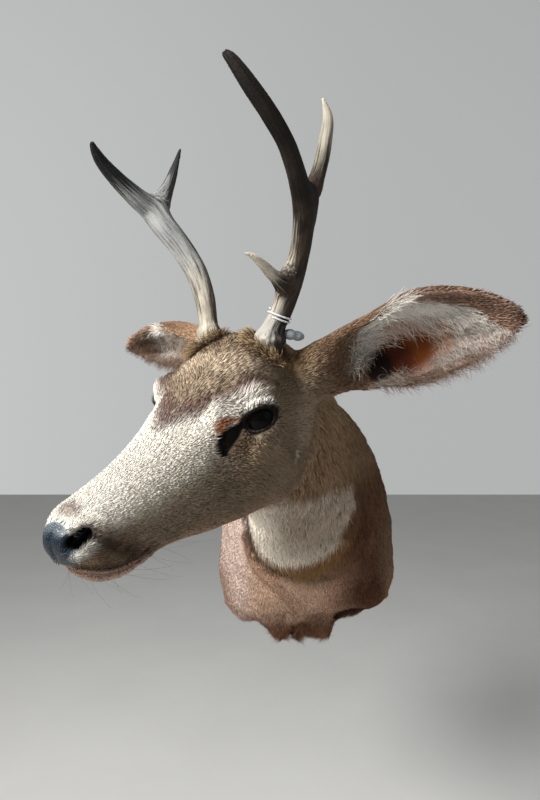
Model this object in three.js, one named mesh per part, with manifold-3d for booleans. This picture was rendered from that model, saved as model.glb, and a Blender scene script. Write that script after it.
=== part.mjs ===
// Shoulder mount of a young forked-antler mule deer buck, life size, on its backboard.
// Millimetres, +Z up. The wall is the plane Y = 0, the mount stands out of it towards -Y, and +X is
// the deer's left. The origin is the middle of the backboard's back face.
import * as THREE from 'three';
import { mergeVertices } from 'three/addons/utils/BufferGeometryUtils.js';
import Module from 'manifold-3d';

const wasm = await Module();
wasm.setup();

// ---- driving dimensions -------------------------------------------------------------------------
const GAP = 0.3; // between two pieces that touch
const FAR = 900; // reach of a cutting block

// The head has a frame of its own between the eyes: +X to the nose, +Y to the deer's left, +Z up.
const HEAD_AT = new THREE.Vector3(-110.2, -454.4, 149.5);
const HEAD_TURN = 35.3; // degrees to the deer's right of straight out from the wall
const HEAD_DROP = 11.8; // nose below level
const HEAD_LEAN = 3.9; // left side lower
const HEAD_BACK = -100;
const NOSE_TIP = 163;
const HEAD_STEPS = 26;
const HEAD_SIDES = 30;
const HEAD_CROWDING = 0.45; // how far the sections crowd towards the nose
const NOSE_FRONT = [165.5, 0, -51];
const NOSE_FRONT_SHARE = 0.55; // breadth of the nose's front face against its last section

// Head profiles along its own X: top line, under line, half width, height of the widest place.
const HEAD_TOP = [[-100, 54], [-80, 63], [-48, 66], [-20, 55], [0, 43], [30, 23], [60, 5], [98, -12],
  [135, -25], [152, -32], [163, -41]];
const HEAD_UNDER = [[-100, -92], [-60, -99], [-20, -98], [30, -93], [80, -88], [105, -90], [128, -92],
  [145, -85], [156, -72], [163, -62]];
const HEAD_HALF = [[-100, 50], [-60, 54], [-20, 59], [5, 60], [30, 50], [60, 41], [98, 33], [125, 29.5],
  [146, 28], [156, 23], [163, 15]];
const HEAD_WIDEST = [[-100, -10], [-50, -12], [0, -4], [40, -26], [98, -50], [145, -54], [163, -51]];
const HEAD_SQUARE_TOP = [[-100, 2.2], [-45, 2.6], [0, 2.4], [60, 2.2], [163, 2.2]];
const HEAD_SQUARE_UNDER = [[-100, 2.1], [-20, 2.2], [60, 2.5], [120, 2.4], [163, 2.3]];

// Swellings of the head: place, reach and rise, alike on both sides.
const HEAD_SWELLINGS = [
  { at: [6, 60, 17], reach: 17, rise: 14 }, // brow over the eye
  { at: [-4, 61, -4], reach: 15, rise: -12 }, // eye opening
  { at: [-34, 50, -42], reach: 34, rise: 5 }, // cheek muscle
  { at: [-70, 40, -78], reach: 24, rise: 5 }, // corner of the jaw
  { at: [34, 44, -24], reach: 15, rise: -3.5 }, // hollow before the eye
  { at: [143, 26, -46], reach: 12, rise: 2.5 }, // nostril wing
  { at: [125, 27, -70], reach: 16, rise: 2.5 }, // upper lip
  { at: [-48, 34, 62], reach: 15, rise: 5 }, // antler foot
];

const NOSE_CUT_AT = [154, 0, -52];
const NOSE_CUT_LEAN = 12; // degrees, the pad's top edge set back
const MOUTH_LINE = [[98, -77], [118, -81], [135, -79], [148, -74], [175, -66]];
const MOUTH_BACK = 102;
const MOUTH_FRONT = 175;
const MOUTH_FLOOR = -140;
const MOUTH_SPREAD = 60;
const MOUTH_STEPS = 10;

const EYE_RADIUS = 16.5;
const EYE_AT = [-5, 47, 0];
const EYE_SIDES = 14;
const EYE_BANDS = 9;

// Neck and brisket, measured along Y from the wall: middle, crest, under line, half width.
const NECK_END = -400;
const NECK_STEPS = 20;
const NECK_SIDES = 36;
const NECK_MIDDLE = [[-400, -68], [-350, -45], [-300, -28], [-250, -17], [-200, -9], [-130, -3], [-60, 0],
  [0, 0]];
const NECK_CREST = [[-400, 214], [-350, 213], [-300, 200], [-250, 189], [-200, 183], [-130, 184],
  [-60, 189], [0, 190]];
const NECK_UNDER = [[-400, 66], [-350, 40], [-300, 4], [-250, -36], [-200, -75], [-150, -112], [-90, -148],
  [-45, -168], [0, -176]];
const NECK_HALF = [[-400, 48], [-350, 57], [-300, 62], [-250, 71], [-200, 83], [-130, 105], [-60, 129],
  [-20, 143], [0, 146]];
const NECK_WIDEST = [[-400, 138], [-300, 96], [-250, 66], [-200, 28], [-130, -34], [-60, -76], [0, -90]];
const NECK_SQUARE_TOP = 2;
const NECK_SQUARE_UNDER = 2.5;
const NECK_CROWDING = 1.15; // sections crowd towards the wall
const NECK_SWELLINGS = [
  { at: [-14, -50, -182], reach: 40, rise: 38 }, // rough hair under the brisket
  { at: [-70, -100, -110], reach: 60, rise: 8 }, // right breast
  { at: [60, -100, -100], reach: 60, rise: 5 }, // left breast
];
const NECK_PART_AT = [-88, 0, -20]; // in the head's frame
const NECK_PART_LEAN = 18;
const BRISKET_PART_Y = -150;
const BRISKET_PART_LEAN = 24;

const BOARD_THICK = 18;
const BOARD_INSET = 9;
const BOARD_SIDES = 64;

// Ears: root and tip in the head's frame, roll of the open face, breadth along the ear.
const EARS = {
  left: { root: [-82, 45, 20], tip: [-144, 225, 69], roll: 30, breadth: 1.12 },
  right: { root: [-84, -45, 28], tip: [-122, -240, 44], roll: -34, breadth: 0.8 },
};
const EAR_STEPS = 14;
const EAR_SIDES = 10;
const EAR_HALF = [[0, 26], [0.15, 30], [0.3, 40], [0.5, 45], [0.7, 40], [0.88, 26], [1, 8]];
const EAR_DEEP = [[0, 22], [0.2, 30], [0.45, 35], [0.7, 27], [0.9, 13], [1, 4]];
const EAR_HOLLOW = [[0, -16], [0.13, -12], [0.25, 15], [0.45, 28], [0.7, 21], [0.9, 8], [1, 0]];
const EAR_BOW = 10; // the ear's back is bowed along its length
const EAR_WALL = 3.2;
const EAR_WALL_SHARE = 0.3; // the wall is never more than this much of the half width
const EAR_RIM = 2; // how far the inner edge of the rim stands forward
const EAR_FULLNESS = 0.8; // below 1 the section is fuller than an oval
const EAR_FACING = 0.3; // how far the open face turns outward from straight ahead

// Antlers: paths in the head's frame, each point with its radius.
const ANTLER_SIDES = 12;
const TINE_SIDES = 10;
const STEP_LENGTH = 13; // between two sections of an antler
const FEWEST_STEPS = 5;
const ANTLERS = {
  left: {
    beam: [[-47, 32, 50, 11.5], [-48, 34, 61, 13], [-51, 36, 69, 10], [-56, 41, 82, 9.5], [-59, 53, 108, 9.4],
      [-58, 62, 130, 8.6], [-50, 72, 149, 8.6], [-41, 80, 165, 9.8], [-30, 86, 177, 8.6]],
    brow_tine: [[-54, 53, 104, 7], [-36, 53, 111, 5.6], [-19, 54, 120, 4.4], [-6, 54, 127, 3], [5, 52, 131, 1]],
    front_tine: [[-34, 84, 172, 8.4], [-19, 88, 183, 7.4], [-2, 91, 202, 6.6], [14, 89, 219, 6.4],
      [26, 82, 237, 5.8], [34, 75, 252, 4.4], [37, 70, 258, 2.4]],
    rear_tine: [[-44, 83, 170, 7.8], [-51, 89, 192, 6.2], [-53, 94, 212, 5.2], [-52, 98, 229, 4],
      [-45, 98, 242, 1.2]],
  },
  right: {
    beam: [[-45, -32, 54, 10], [-47, -34, 66, 12], [-50, -37, 75, 9], [-54, -43, 100, 9.6],
      [-54, -51, 125, 10.4], [-45, -61, 150, 10.6], [-36, -69, 167, 11.3], [-29, -77, 183, 11],
      [-20, -80, 189, 8.6]],
    front_tine: [[-31, -76, 182, 10.6], [-14, -80, 193, 9], [5, -82, 207, 7], [19, -82, 218, 5.4],
      [27, -80, 226, 3.6], [31, -78, 232, 1.6]],
    rear_tine: [[-35, -76, 182, 9.8], [-50, -80, 198, 8], [-61, -83, 209, 5.9], [-74, -86, 226, 4],
      [-88, -88, 248, 1.2]],
  },
};

const TIE_RADIUS = 0.85;
const TIE_TURNS = 1.9;
const TIE_PITCH = 3.2;
const TIE_AT = 0.355; // place along the left beam
const TIE_STEPS = 30;
const TIE_CLEARANCE = 0.65; // off the beam, whose sides swell a little under the cord
const TAG = { at: [-68, 50, 62], length: 20, radius: 4.6, turn: 62 };

// ---- materials ----------------------------------------------------------------------------------
const finish = (color, roughness) => new THREE.MeshStandardMaterial({ color, roughness, metalness: 0 });
const FINISHES = {
  face: finish(0x9a8875, 0.9),
  neck: finish(0x8f745f, 0.9),
  brisket: finish(0x8a6553, 0.9),
  ear: finish(0x85705f, 0.9),
  nose: finish(0x1d2833, 0.45),
  eye: finish(0x0b0908, 0.05),
  antler: finish(0x5c4c3f, 0.55),
  board: finish(0xb08d61, 0.75),
  tie: finish(0xe4e6ea, 0.4),
  tag: finish(0x74787c, 0.4),
};

// ---- small tools --------------------------------------------------------------------------------
const vec = (p) => new THREE.Vector3(p[0], p[1], p[2]);
const radians = THREE.MathUtils.degToRad;
const mirrored = (p) => [p[0], -p[1], p[2]];

// A smooth curve through [place, value] pairs in rising order of place, level beyond both ends.
function profile(points) {
  const last = points.length - 1;
  const slope = (i) => {
    const before = points[Math.max(i - 1, 0)];
    const after = points[Math.min(i + 1, last)];
    return (after[1] - before[1]) / (after[0] - before[0]);
  };
  return (place) => {
    const x = THREE.MathUtils.clamp(place, points[0][0], points[last][0]);
    let i = 0;
    while (i < last - 1 && x > points[i + 1][0]) i += 1;
    const span = points[i + 1][0] - points[i][0];
    const t = (x - points[i][0]) / span;
    const keep = (1 + 2 * t) * (1 - t) ** 2;
    const leave = t * (1 - t) ** 2 * span;
    const arrive = t ** 2 * (t - 1) * span;
    return keep * points[i][1] + leave * slope(i) + (1 - keep) * points[i + 1][1] + arrive * slope(i + 1);
  };
}

// A closed skin over rings of equal count, with each end closed by a fan.
function loft(rings) {
  const sides = rings[0].length;
  const centre = (ring) => ring.reduce((sum, p) => sum.add(p), new THREE.Vector3()).divideScalar(sides);
  const points = rings.flat();
  const first = points.length;
  points.push(centre(rings[0]), centre(rings[rings.length - 1]));
  const index = [];
  for (let i = 0; i < sides; i += 1) {
    const j = (i + 1) % sides;
    const end = (rings.length - 1) * sides;
    index.push(first, j, i);
    index.push(first + 1, end + i, end + j);
    for (let k = 0; k < rings.length - 1; k += 1) {
      const a = k * sides;
      const b = a + sides;
      index.push(a + i, a + j, b + j);
      index.push(a + i, b + j, b + i);
    }
  }
  return outward(points, index);
}

// The geometry of points and triangles, turned so that its faces point out.
function outward(points, index) {
  let volume = 0;
  const cross = new THREE.Vector3();
  for (let i = 0; i < index.length; i += 3) {
    cross.crossVectors(points[index[i + 1]], points[index[i + 2]]);
    volume += points[index[i]].dot(cross);
  }
  const geometry = new THREE.BufferGeometry().setFromPoints(points);
  geometry.setIndex(volume > 0 ? index : index.reverse());
  return geometry;
}

function solid(geometry) {
  const bare = geometry.clone();
  bare.deleteAttribute('normal');
  bare.deleteAttribute('uv');
  const merged = mergeVertices(bare, 1e-4);
  const vertProperties = new Float32Array(merged.attributes.position.array);
  const triVerts = new Uint32Array(merged.index.array);
  return new wasm.Manifold(new wasm.Mesh({ numProp: 3, vertProperties, triVerts }));
}

function geometryOf(body) {
  const mesh = body.getMesh();
  const geometry = new THREE.BufferGeometry();
  geometry.setAttribute('position', new THREE.BufferAttribute(mesh.vertProperties, 3));
  geometry.setIndex(new THREE.BufferAttribute(mesh.triVerts, 1));
  geometry.computeVertexNormals();
  return geometry;
}

// The block of space on the side of a plane that its normal points to.
function sideOf(point, normal, setback = 0) {
  const block = new THREE.BoxGeometry(FAR * 2, FAR * 2, FAR * 2);
  const turn = new THREE.Quaternion().setFromUnitVectors(new THREE.Vector3(0, 0, 1), normal);
  const middle = point.clone().addScaledVector(normal, FAR + setback);
  return solid(block.applyMatrix4(new THREE.Matrix4().compose(middle, turn, new THREE.Vector3(1, 1, 1))));
}

// An oval section with its own height above and below the widest place, squarer as the powers rise.
function oval(angle, half, above, below, squareAbove, squareBelow) {
  const across = Math.cos(angle);
  const up = Math.sin(angle);
  const power = 2 / (up >= 0 ? squareAbove : squareBelow);
  const height = up >= 0 ? above : below;
  return [half * Math.sign(across) * Math.abs(across) ** power, height * Math.sign(up) * Math.abs(up) ** power];
}

// Moves a point away from the section's middle by each swelling that reaches it.
function swell(point, middle, swellings, bothSides) {
  const out = point.clone().sub(middle).normalize();
  let rise = 0;
  for (const swelling of swellings) {
    const places = bothSides ? [swelling.at, mirrored(swelling.at)] : [swelling.at];
    for (const place of places) {
      const away = point.distanceTo(vec(place)) / swelling.reach;
      rise += swelling.rise * Math.exp(-away * away);
    }
  }
  return point.addScaledVector(out, rise);
}

// ---- head ---------------------------------------------------------------------------------------
function headShape(grow = 0) {
  const top = profile(HEAD_TOP);
  const under = profile(HEAD_UNDER);
  const half = profile(HEAD_HALF);
  const widest = profile(HEAD_WIDEST);
  const squareTop = profile(HEAD_SQUARE_TOP);
  const squareUnder = profile(HEAD_SQUARE_UNDER);
  const rings = [];
  for (let k = 0; k <= HEAD_STEPS; k += 1) {
    const even = k / HEAD_STEPS;
    const along = even + (Math.sin(even * Math.PI * 0.5) - even) * HEAD_CROWDING;
    const x = HEAD_BACK + (NOSE_TIP - HEAD_BACK) * along;
    const middle = new THREE.Vector3(x, 0, widest(x));
    const ring = [];
    for (let i = 0; i < HEAD_SIDES; i += 1) {
      const angle = (i / HEAD_SIDES) * Math.PI * 2;
      const above = top(x) - middle.z + grow;
      const below = middle.z - under(x) + grow;
      const [y, z] = oval(angle, half(x) + grow, above, below, squareTop(x), squareUnder(x));
      ring.push(swell(new THREE.Vector3(x, y, middle.z + z), middle, HEAD_SWELLINGS, true));
    }
    rings.push(ring);
  }
  const front = vec(NOSE_FRONT);
  front.x += grow;
  const last = rings[rings.length - 1];
  rings.push(last.map((p) => p.clone().lerp(front, 1 - NOSE_FRONT_SHARE).setX(front.x)));
  return solid(loft(rings));
}

// The space below the mouth line, in front of the corners of the mouth.
function mouthBlock(grow = 0) {
  const line = profile(MOUTH_LINE);
  const start = MOUTH_BACK - grow;
  const shape = new THREE.Shape();
  shape.moveTo(MOUTH_FRONT, MOUTH_FLOOR);
  shape.lineTo(start, MOUTH_FLOOR);
  for (let k = 0; k <= MOUTH_STEPS; k += 1) {
    const x = start + ((MOUTH_FRONT - start) * k) / MOUTH_STEPS;
    shape.lineTo(x, line(x) + grow);
  }
  const block = new THREE.ExtrudeGeometry(shape, { depth: MOUTH_SPREAD * 2, bevelEnabled: false });
  block.translate(0, 0, -MOUTH_SPREAD);
  block.rotateX(Math.PI / 2);
  return solid(block);
}

function eyeball(side, grow = 0) {
  const ball = new THREE.SphereGeometry(EYE_RADIUS + grow, EYE_SIDES, EYE_BANDS);
  ball.rotateX(Math.PI / 2);
  ball.translate(EYE_AT[0], EYE_AT[1] * side, EYE_AT[2]);
  return solid(ball);
}

// ---- neck and brisket ---------------------------------------------------------------------------
const neckMiddle = profile(NECK_MIDDLE);
const neckCrest = profile(NECK_CREST);
const neckUnder = profile(NECK_UNDER);
const neckHalf = profile(NECK_HALF);
const neckWidest = profile(NECK_WIDEST);

function neckRing(y, grow = 0) {
  const centre = neckMiddle(y);
  const widest = neckWidest(y);
  const above = neckCrest(y) - widest + grow;
  const below = widest - neckUnder(y) + grow;
  const half = neckHalf(y) + grow;
  const middle = new THREE.Vector3(centre, y, widest);
  const ring = [];
  for (let i = 0; i < NECK_SIDES; i += 1) {
    const angle = (i / NECK_SIDES) * Math.PI * 2;
    const [x, z] = oval(angle, half, above, below, NECK_SQUARE_TOP, NECK_SQUARE_UNDER);
    const point = new THREE.Vector3(centre + x, y, widest + z);
    ring.push(swell(point, middle, NECK_SWELLINGS, false));
  }
  return ring;
}

function neckShape(grow = 0) {
  const rings = [];
  for (let k = 0; k <= NECK_STEPS; k += 1) {
    const along = (k / NECK_STEPS) ** NECK_CROWDING;
    rings.push(neckRing(NECK_END * along, grow));
  }
  return solid(loft(rings));
}

function backboard(grow = 0) {
  const ring = neckRing(0, 0);
  const middle = new THREE.Vector3(0, 0, 0);
  const inset = (p) => p.clone().sub(middle).setLength(p.distanceTo(middle) - BOARD_INSET + grow);
  const outline = new THREE.SplineCurve(ring.map((p) => new THREE.Vector2(inset(p).x, inset(p).z)));
  outline.points.push(outline.points[0].clone());
  const shape = new THREE.Shape(outline.getSpacedPoints(BOARD_SIDES).slice(0, -1));
  const depth = BOARD_THICK + grow * 2;
  const board = new THREE.ExtrudeGeometry(shape, { depth, bevelEnabled: false });
  board.rotateX(Math.PI / 2);
  board.translate(0, grow, 0);
  return board;
}

// ---- ears ---------------------------------------------------------------------------------------
function earShape(ear, side) {
  const half = profile(EAR_HALF);
  const deep = profile(EAR_DEEP);
  const hollow = profile(EAR_HOLLOW);
  const root = vec(ear.root);
  const along = vec(ear.tip).sub(root);
  const length = along.length();
  along.normalize();
  const face = new THREE.Vector3(1, EAR_FACING * side, 0);
  face.addScaledVector(along, -face.dot(along)).normalize();
  face.applyAxisAngle(along, radians(ear.roll));
  const across = new THREE.Vector3().crossVectors(face, along).multiplyScalar(side);
  const rings = [];
  for (let k = 0; k <= EAR_STEPS; k += 1) {
    const t = k / EAR_STEPS;
    const spine = root.clone().addScaledVector(along, length * t);
    spine.addScaledVector(face, -EAR_BOW * Math.sin(Math.PI * t));
    const place = (s, width, depth) => {
      const sideways = Math.sin(s) * width;
      const behind = -(Math.max(Math.cos(s), 0) ** EAR_FULLNESS) * depth;
      return spine.clone().addScaledVector(across, sideways).addScaledVector(face, behind);
    };
    const width = half(t) * ear.breadth;
    const wall = Math.min(EAR_WALL, width * EAR_WALL_SHARE);
    const ring = [];
    for (let i = 0; i <= EAR_SIDES; i += 1) {
      ring.push(place(((i / EAR_SIDES) * 2 - 1) * Math.PI * 0.5, width, deep(t)));
    }
    for (let i = 0; i <= EAR_SIDES; i += 1) {
      const s = (1 - (i / EAR_SIDES) * 2) * Math.PI * 0.5;
      ring.push(place(s, width - wall, hollow(t)).addScaledVector(face, EAR_RIM));
    }
    rings.push(ring);
  }
  return solid(loft(rings));
}

// ---- antlers ------------------------------------------------------------------------------------
const radiusAlong = (path) => profile(path.map((point, i) => [i / (path.length - 1), point[3]]));

// A round stem along a path whose radius changes from point to point.
function stem(path, sides, grow = 0) {
  const route = new THREE.CatmullRomCurve3(path.map(vec));
  const steps = Math.max(FEWEST_STEPS, Math.round(route.getLength() / STEP_LENGTH));
  const frames = route.computeFrenetFrames(steps, false);
  const radiusAt = radiusAlong(path);
  const rings = [];
  for (let k = 0; k <= steps; k += 1) {
    const t = route.getUtoTmapping(k / steps, 0);
    const centre = route.getPoint(t);
    const radius = radiusAt(t) + grow;
    const ring = [];
    for (let i = 0; i < sides; i += 1) {
      const angle = (i / sides) * Math.PI * 2;
      const point = centre.clone().addScaledVector(frames.normals[k], Math.cos(angle) * radius);
      ring.push(point.addScaledVector(frames.binormals[k], Math.sin(angle) * radius));
    }
    rings.push(ring);
  }
  return solid(loft(rings));
}

// The white cord wound round the left beam above its burr.
function tie() {
  const path = ANTLERS.left.beam;
  const route = new THREE.CatmullRomCurve3(path.map(vec));
  const centre = route.getPoint(TIE_AT);
  const axis = route.getTangent(TIE_AT);
  const reach = radiusAlong(path)(TIE_AT) + TIE_RADIUS + TIE_CLEARANCE;
  const side = new THREE.Vector3(1, 0, 0).addScaledVector(axis, -axis.x).normalize();
  const other = new THREE.Vector3().crossVectors(axis, side);
  const points = [];
  for (let k = 0; k <= TIE_STEPS; k += 1) {
    const angle = (k / TIE_STEPS) * TIE_TURNS * Math.PI * 2;
    const rise = (k / TIE_STEPS - 0.5) * TIE_PITCH * TIE_TURNS;
    const point = centre.clone().addScaledVector(axis, rise);
    point.addScaledVector(side, Math.cos(angle) * reach);
    points.push(point.addScaledVector(other, Math.sin(angle) * reach));
  }
  const section = new THREE.Shape().absarc(0, 0, TIE_RADIUS, 0, Math.PI * 2);
  const extrudePath = new THREE.CatmullRomCurve3(points);
  return new THREE.ExtrudeGeometry(section, { steps: TIE_STEPS, extrudePath, curveSegments: 3 });
}

function tag() {
  const capsule = new THREE.CapsuleGeometry(TAG.radius, TAG.length - TAG.radius * 2, 4, 12);
  capsule.rotateZ(radians(TAG.turn) + Math.PI / 2);
  capsule.translate(...TAG.at);
  return solid(capsule);
}

// ---- assembly -----------------------------------------------------------------------------------
const headTurn = new THREE.Matrix4().makeRotationZ(radians(-90 - HEAD_TURN));
headTurn.multiply(new THREE.Matrix4().makeRotationY(radians(HEAD_DROP)));
headTurn.multiply(new THREE.Matrix4().makeRotationX(radians(-HEAD_LEAN)));
const headPlace = headTurn.clone().setPosition(HEAD_AT);
const toHead = headPlace.clone().invert();

const mount = new THREE.Group();
const headGroup = new THREE.Group();
headGroup.position.copy(HEAD_AT);
headGroup.quaternion.setFromRotationMatrix(headTurn);
mount.add(headGroup);

function add(group, name, body, material) {
  const geometry = body instanceof THREE.BufferGeometry ? body : geometryOf(body);
  const mesh = new THREE.Mesh(geometry, material);
  mesh.name = name;
  group.add(mesh);
}

const headWhole = headShape();
const headGrown = headShape(GAP);
const neckWhole = neckShape();
const neckGrown = neckShape(GAP);
const inHead = (body) => body.transform(toHead.elements);
const inWall = (body) => body.transform(headPlace.elements);

// The hide over head and neck is one form, parted at the throat and again at the shoulders.
const form = headWhole.add(inHead(neckWhole));
const throatPoint = vec(NECK_PART_AT);
const throatLean = radians(NECK_PART_LEAN);
const throatNormal = new THREE.Vector3(Math.cos(throatLean), 0, Math.sin(throatLean));
const front = form.intersect(sideOf(throatPoint, throatNormal, GAP));
const behind = inWall(form.intersect(sideOf(throatPoint, throatNormal.clone().negate())));

const shoulderPoint = new THREE.Vector3(0, BRISKET_PART_Y, 0);
const shoulderLean = radians(BRISKET_PART_LEAN);
const shoulderNormal = new THREE.Vector3(0, -Math.cos(shoulderLean), Math.sin(shoulderLean));
const neck = behind.intersect(sideOf(shoulderPoint, shoulderNormal, GAP));
const brisket = behind.intersect(sideOf(shoulderPoint, shoulderNormal.clone().negate()));

const noseLean = radians(NOSE_CUT_LEAN);
const nosePoint = vec(NOSE_CUT_AT);
const noseNormal = new THREE.Vector3(Math.cos(noseLean), 0, Math.sin(noseLean));
const sockets = eyeball(1, GAP).add(eyeball(-1, GAP));
const aboveMouth = front.subtract(mouthBlock(GAP));
const headOnly = aboveMouth.subtract(sideOf(nosePoint, noseNormal)).subtract(sockets);
const nosePad = aboveMouth.intersect(sideOf(nosePoint, noseNormal, GAP));

add(headGroup, 'head', headOnly, FINISHES.face);
add(headGroup, 'nose_pad', nosePad, FINISHES.nose);
add(headGroup, 'lower_jaw', front.intersect(mouthBlock()), FINISHES.face);
add(headGroup, 'eye_left', eyeball(1), FINISHES.eye);
add(headGroup, 'eye_right', eyeball(-1), FINISHES.eye);
add(mount, 'neck', neck, FINISHES.neck);
add(mount, 'brisket', brisket.subtract(solid(backboard(GAP))), FINISHES.brisket);
add(mount, 'backboard', backboard(), FINISHES.board);

const hide = headGrown.add(inHead(neckGrown));
for (const [name, parts] of Object.entries(ANTLERS)) {
  add(headGroup, `antler_${name}_beam`, stem(parts.beam, ANTLER_SIDES).subtract(hide), FINISHES.antler);
  let taken = stem(parts.beam, ANTLER_SIDES, GAP);
  for (const [tine, path] of Object.entries(parts)) {
    if (tine !== 'beam') {
      add(headGroup, `antler_${name}_${tine}`, stem(path, TINE_SIDES).subtract(taken), FINISHES.antler);
      taken = taken.add(stem(path, TINE_SIDES, GAP));
    }
  }
}
add(headGroup, 'ear_left', earShape(EARS.left, 1).subtract(hide), FINISHES.ear);
add(headGroup, 'ear_right', earShape(EARS.right, -1).subtract(hide), FINISHES.ear);
add(headGroup, 'antler_tie', tie(), FINISHES.tie);
const leftFoot = stem(ANTLERS.left.beam, ANTLER_SIDES, GAP);
add(headGroup, 'antler_tag', tag().subtract(hide).subtract(leftFoot), FINISHES.tag);

export default mount;
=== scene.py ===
"""Shoulder mount of a young forked-antler deer: hide, coat, eyes, antlers and fittings round the
fixed frame. Sizes here are in millimetres until a mesh is made, in the mount's frame or in the head's
own frame, which has +X to the nose, +Y to the deer's left and +Z up, from between the eyes."""

import math

import bmesh
import bpy
import numpy as np
from bpy.props import FloatProperty, FloatVectorProperty, PointerProperty
from mathutils import Euler, Matrix, Vector, noise


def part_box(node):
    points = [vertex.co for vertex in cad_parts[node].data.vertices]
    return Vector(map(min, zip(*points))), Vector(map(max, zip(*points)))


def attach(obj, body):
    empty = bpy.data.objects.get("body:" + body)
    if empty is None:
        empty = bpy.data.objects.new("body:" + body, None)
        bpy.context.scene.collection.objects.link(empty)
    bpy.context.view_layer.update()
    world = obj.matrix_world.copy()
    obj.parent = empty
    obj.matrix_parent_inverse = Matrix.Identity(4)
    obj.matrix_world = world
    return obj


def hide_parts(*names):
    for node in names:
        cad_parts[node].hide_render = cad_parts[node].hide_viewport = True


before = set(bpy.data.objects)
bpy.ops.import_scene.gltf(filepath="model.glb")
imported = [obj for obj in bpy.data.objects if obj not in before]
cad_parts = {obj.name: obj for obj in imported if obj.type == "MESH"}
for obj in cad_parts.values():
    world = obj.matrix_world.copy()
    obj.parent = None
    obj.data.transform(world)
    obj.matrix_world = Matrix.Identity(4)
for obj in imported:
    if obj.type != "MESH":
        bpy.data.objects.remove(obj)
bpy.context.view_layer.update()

bl_info = {
    "name": "Deer Shoulder Mount",
    "version": (1, 0, 0),
    "blender": (4, 5, 0),
    "location": "View3D > Sidebar > Mount",
    "description": "Hide, coat, eyes, antlers and fittings of a shoulder mount",
    "category": "Add Mesh",
}

# ---- places and profiles of the mount -----------------------------------------------------------
HEAD_AT = np.array([-110.2, -454.4, 149.5])
HEAD_TURN, HEAD_DROP, HEAD_LEAN = 35.3, 11.8, 3.9
HEAD_BACK, NOSE_TIP = -100, 163
HEAD_TOP = [[-100, 54], [-80, 63], [-48, 66], [-20, 55], [0, 43], [30, 23], [60, 5], [98, -12], [135, -25],
            [152, -32], [163, -41]]
HEAD_UNDER = [[-100, -92], [-60, -99], [-20, -98], [30, -93], [80, -88], [105, -90], [128, -92], [145, -85],
              [156, -72], [163, -62]]
HEAD_HALF = [[-100, 50], [-60, 54], [-20, 59], [5, 60], [30, 50], [60, 41], [98, 33], [125, 29.5],
             [146, 28], [156, 23], [163, 15]]
HEAD_WIDEST = [[-100, -10], [-50, -12], [0, -4], [40, -26], [98, -50], [145, -54], [163, -51]]
SQUARE_TOP = [[-100, 2.2], [-45, 2.6], [0, 2.4], [60, 2.2], [163, 2.2]]
SQUARE_UNDER = [[-100, 2.1], [-20, 2.2], [60, 2.5], [120, 2.4], [163, 2.3]]
HEAD_SWELLINGS = [  # place, reach, rise
    ((6, 60, 17), 17, 14),  # brow
    ((-34, 50, -42), 34, 5),  # cheek
    ((-70, 40, -78), 24, 5),  # corner of the jaw
    ((34, 44, -24), 15, -3.5),  # hollow before the eye
    ((143, 26, -46), 12, 2.5),  # nostril wing
    ((125, 27, -70), 16, 2.5),  # upper lip
    ((-48, 34, 62), 15, 5),  # antler foot
]
ANTLER_FOOT = np.array([-49, 34, 60.0])
MOUTH_LINE = [[98, -73], [118, -77], [135, -77.5], [148, -74], [175, -66]]
EYE_AT, EYE_RADIUS, CORNEA_RISE = np.array([-5.0, 47.0, 0.0]), 16.5, 0.6
EYE_RINGS, EYE_SIDES = 47, 72

NECK_MIDDLE = [[-400, -68], [-350, -45], [-300, -28], [-250, -17], [-200, -9], [-130, -3], [-60, 0], [0, 0]]
NECK_CREST = [[-400, 214], [-350, 213], [-300, 200], [-250, 189], [-200, 183], [-130, 184], [-60, 189],
              [0, 190]]
NECK_UNDER = [[-400, 66], [-350, 40], [-300, 4], [-250, -36], [-200, -75], [-150, -112], [-90, -148],
              [-45, -168], [0, -176]]
NECK_HALF = [[-400, 48], [-350, 57], [-300, 62], [-250, 71], [-200, 83], [-130, 105], [-60, 129],
             [-20, 143], [0, 146]]
NECK_WIDEST = [[-400, 138], [-300, 96], [-250, 66], [-200, 28], [-130, -34], [-60, -76], [0, -90]]
NECK_SWELLINGS = [
    ((-14, -50, -182), 40, 19),  # under the brisket, where long rough hair fills the rest
    ((-70, -100, -110), 60, 8),
    ((60, -100, -100), 60, 5),
]
EARS = {
    "left": {"side": 1, "root": (-82, 45, 20), "tip": (-144, 225, 69), "roll": 30, "breadth": 1.12,
             "trim": 12},
    "right": {"side": -1, "root": (-84, -45, 28), "tip": (-122, -240, 44), "roll": -34, "breadth": 0.8,
              "trim": 0},
}
EAR_HALF = [[0, 26], [0.15, 30], [0.3, 40], [0.5, 45], [0.7, 40], [0.88, 26], [1, 8]]
EAR_DEEP = [[0, 22], [0.2, 30], [0.45, 35], [0.7, 27], [0.9, 13], [1, 4]]
EAR_HOLLOW = [[0, -16], [0.13, -12], [0.25, 15], [0.45, 28], [0.7, 21], [0.9, 8], [1, 0]]
EAR_BOW = 10
THROAT_AXIS, THROAT_AT = np.array([0.95, 0, 0.31]), -94  # the head passes into the neck across this plane

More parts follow.
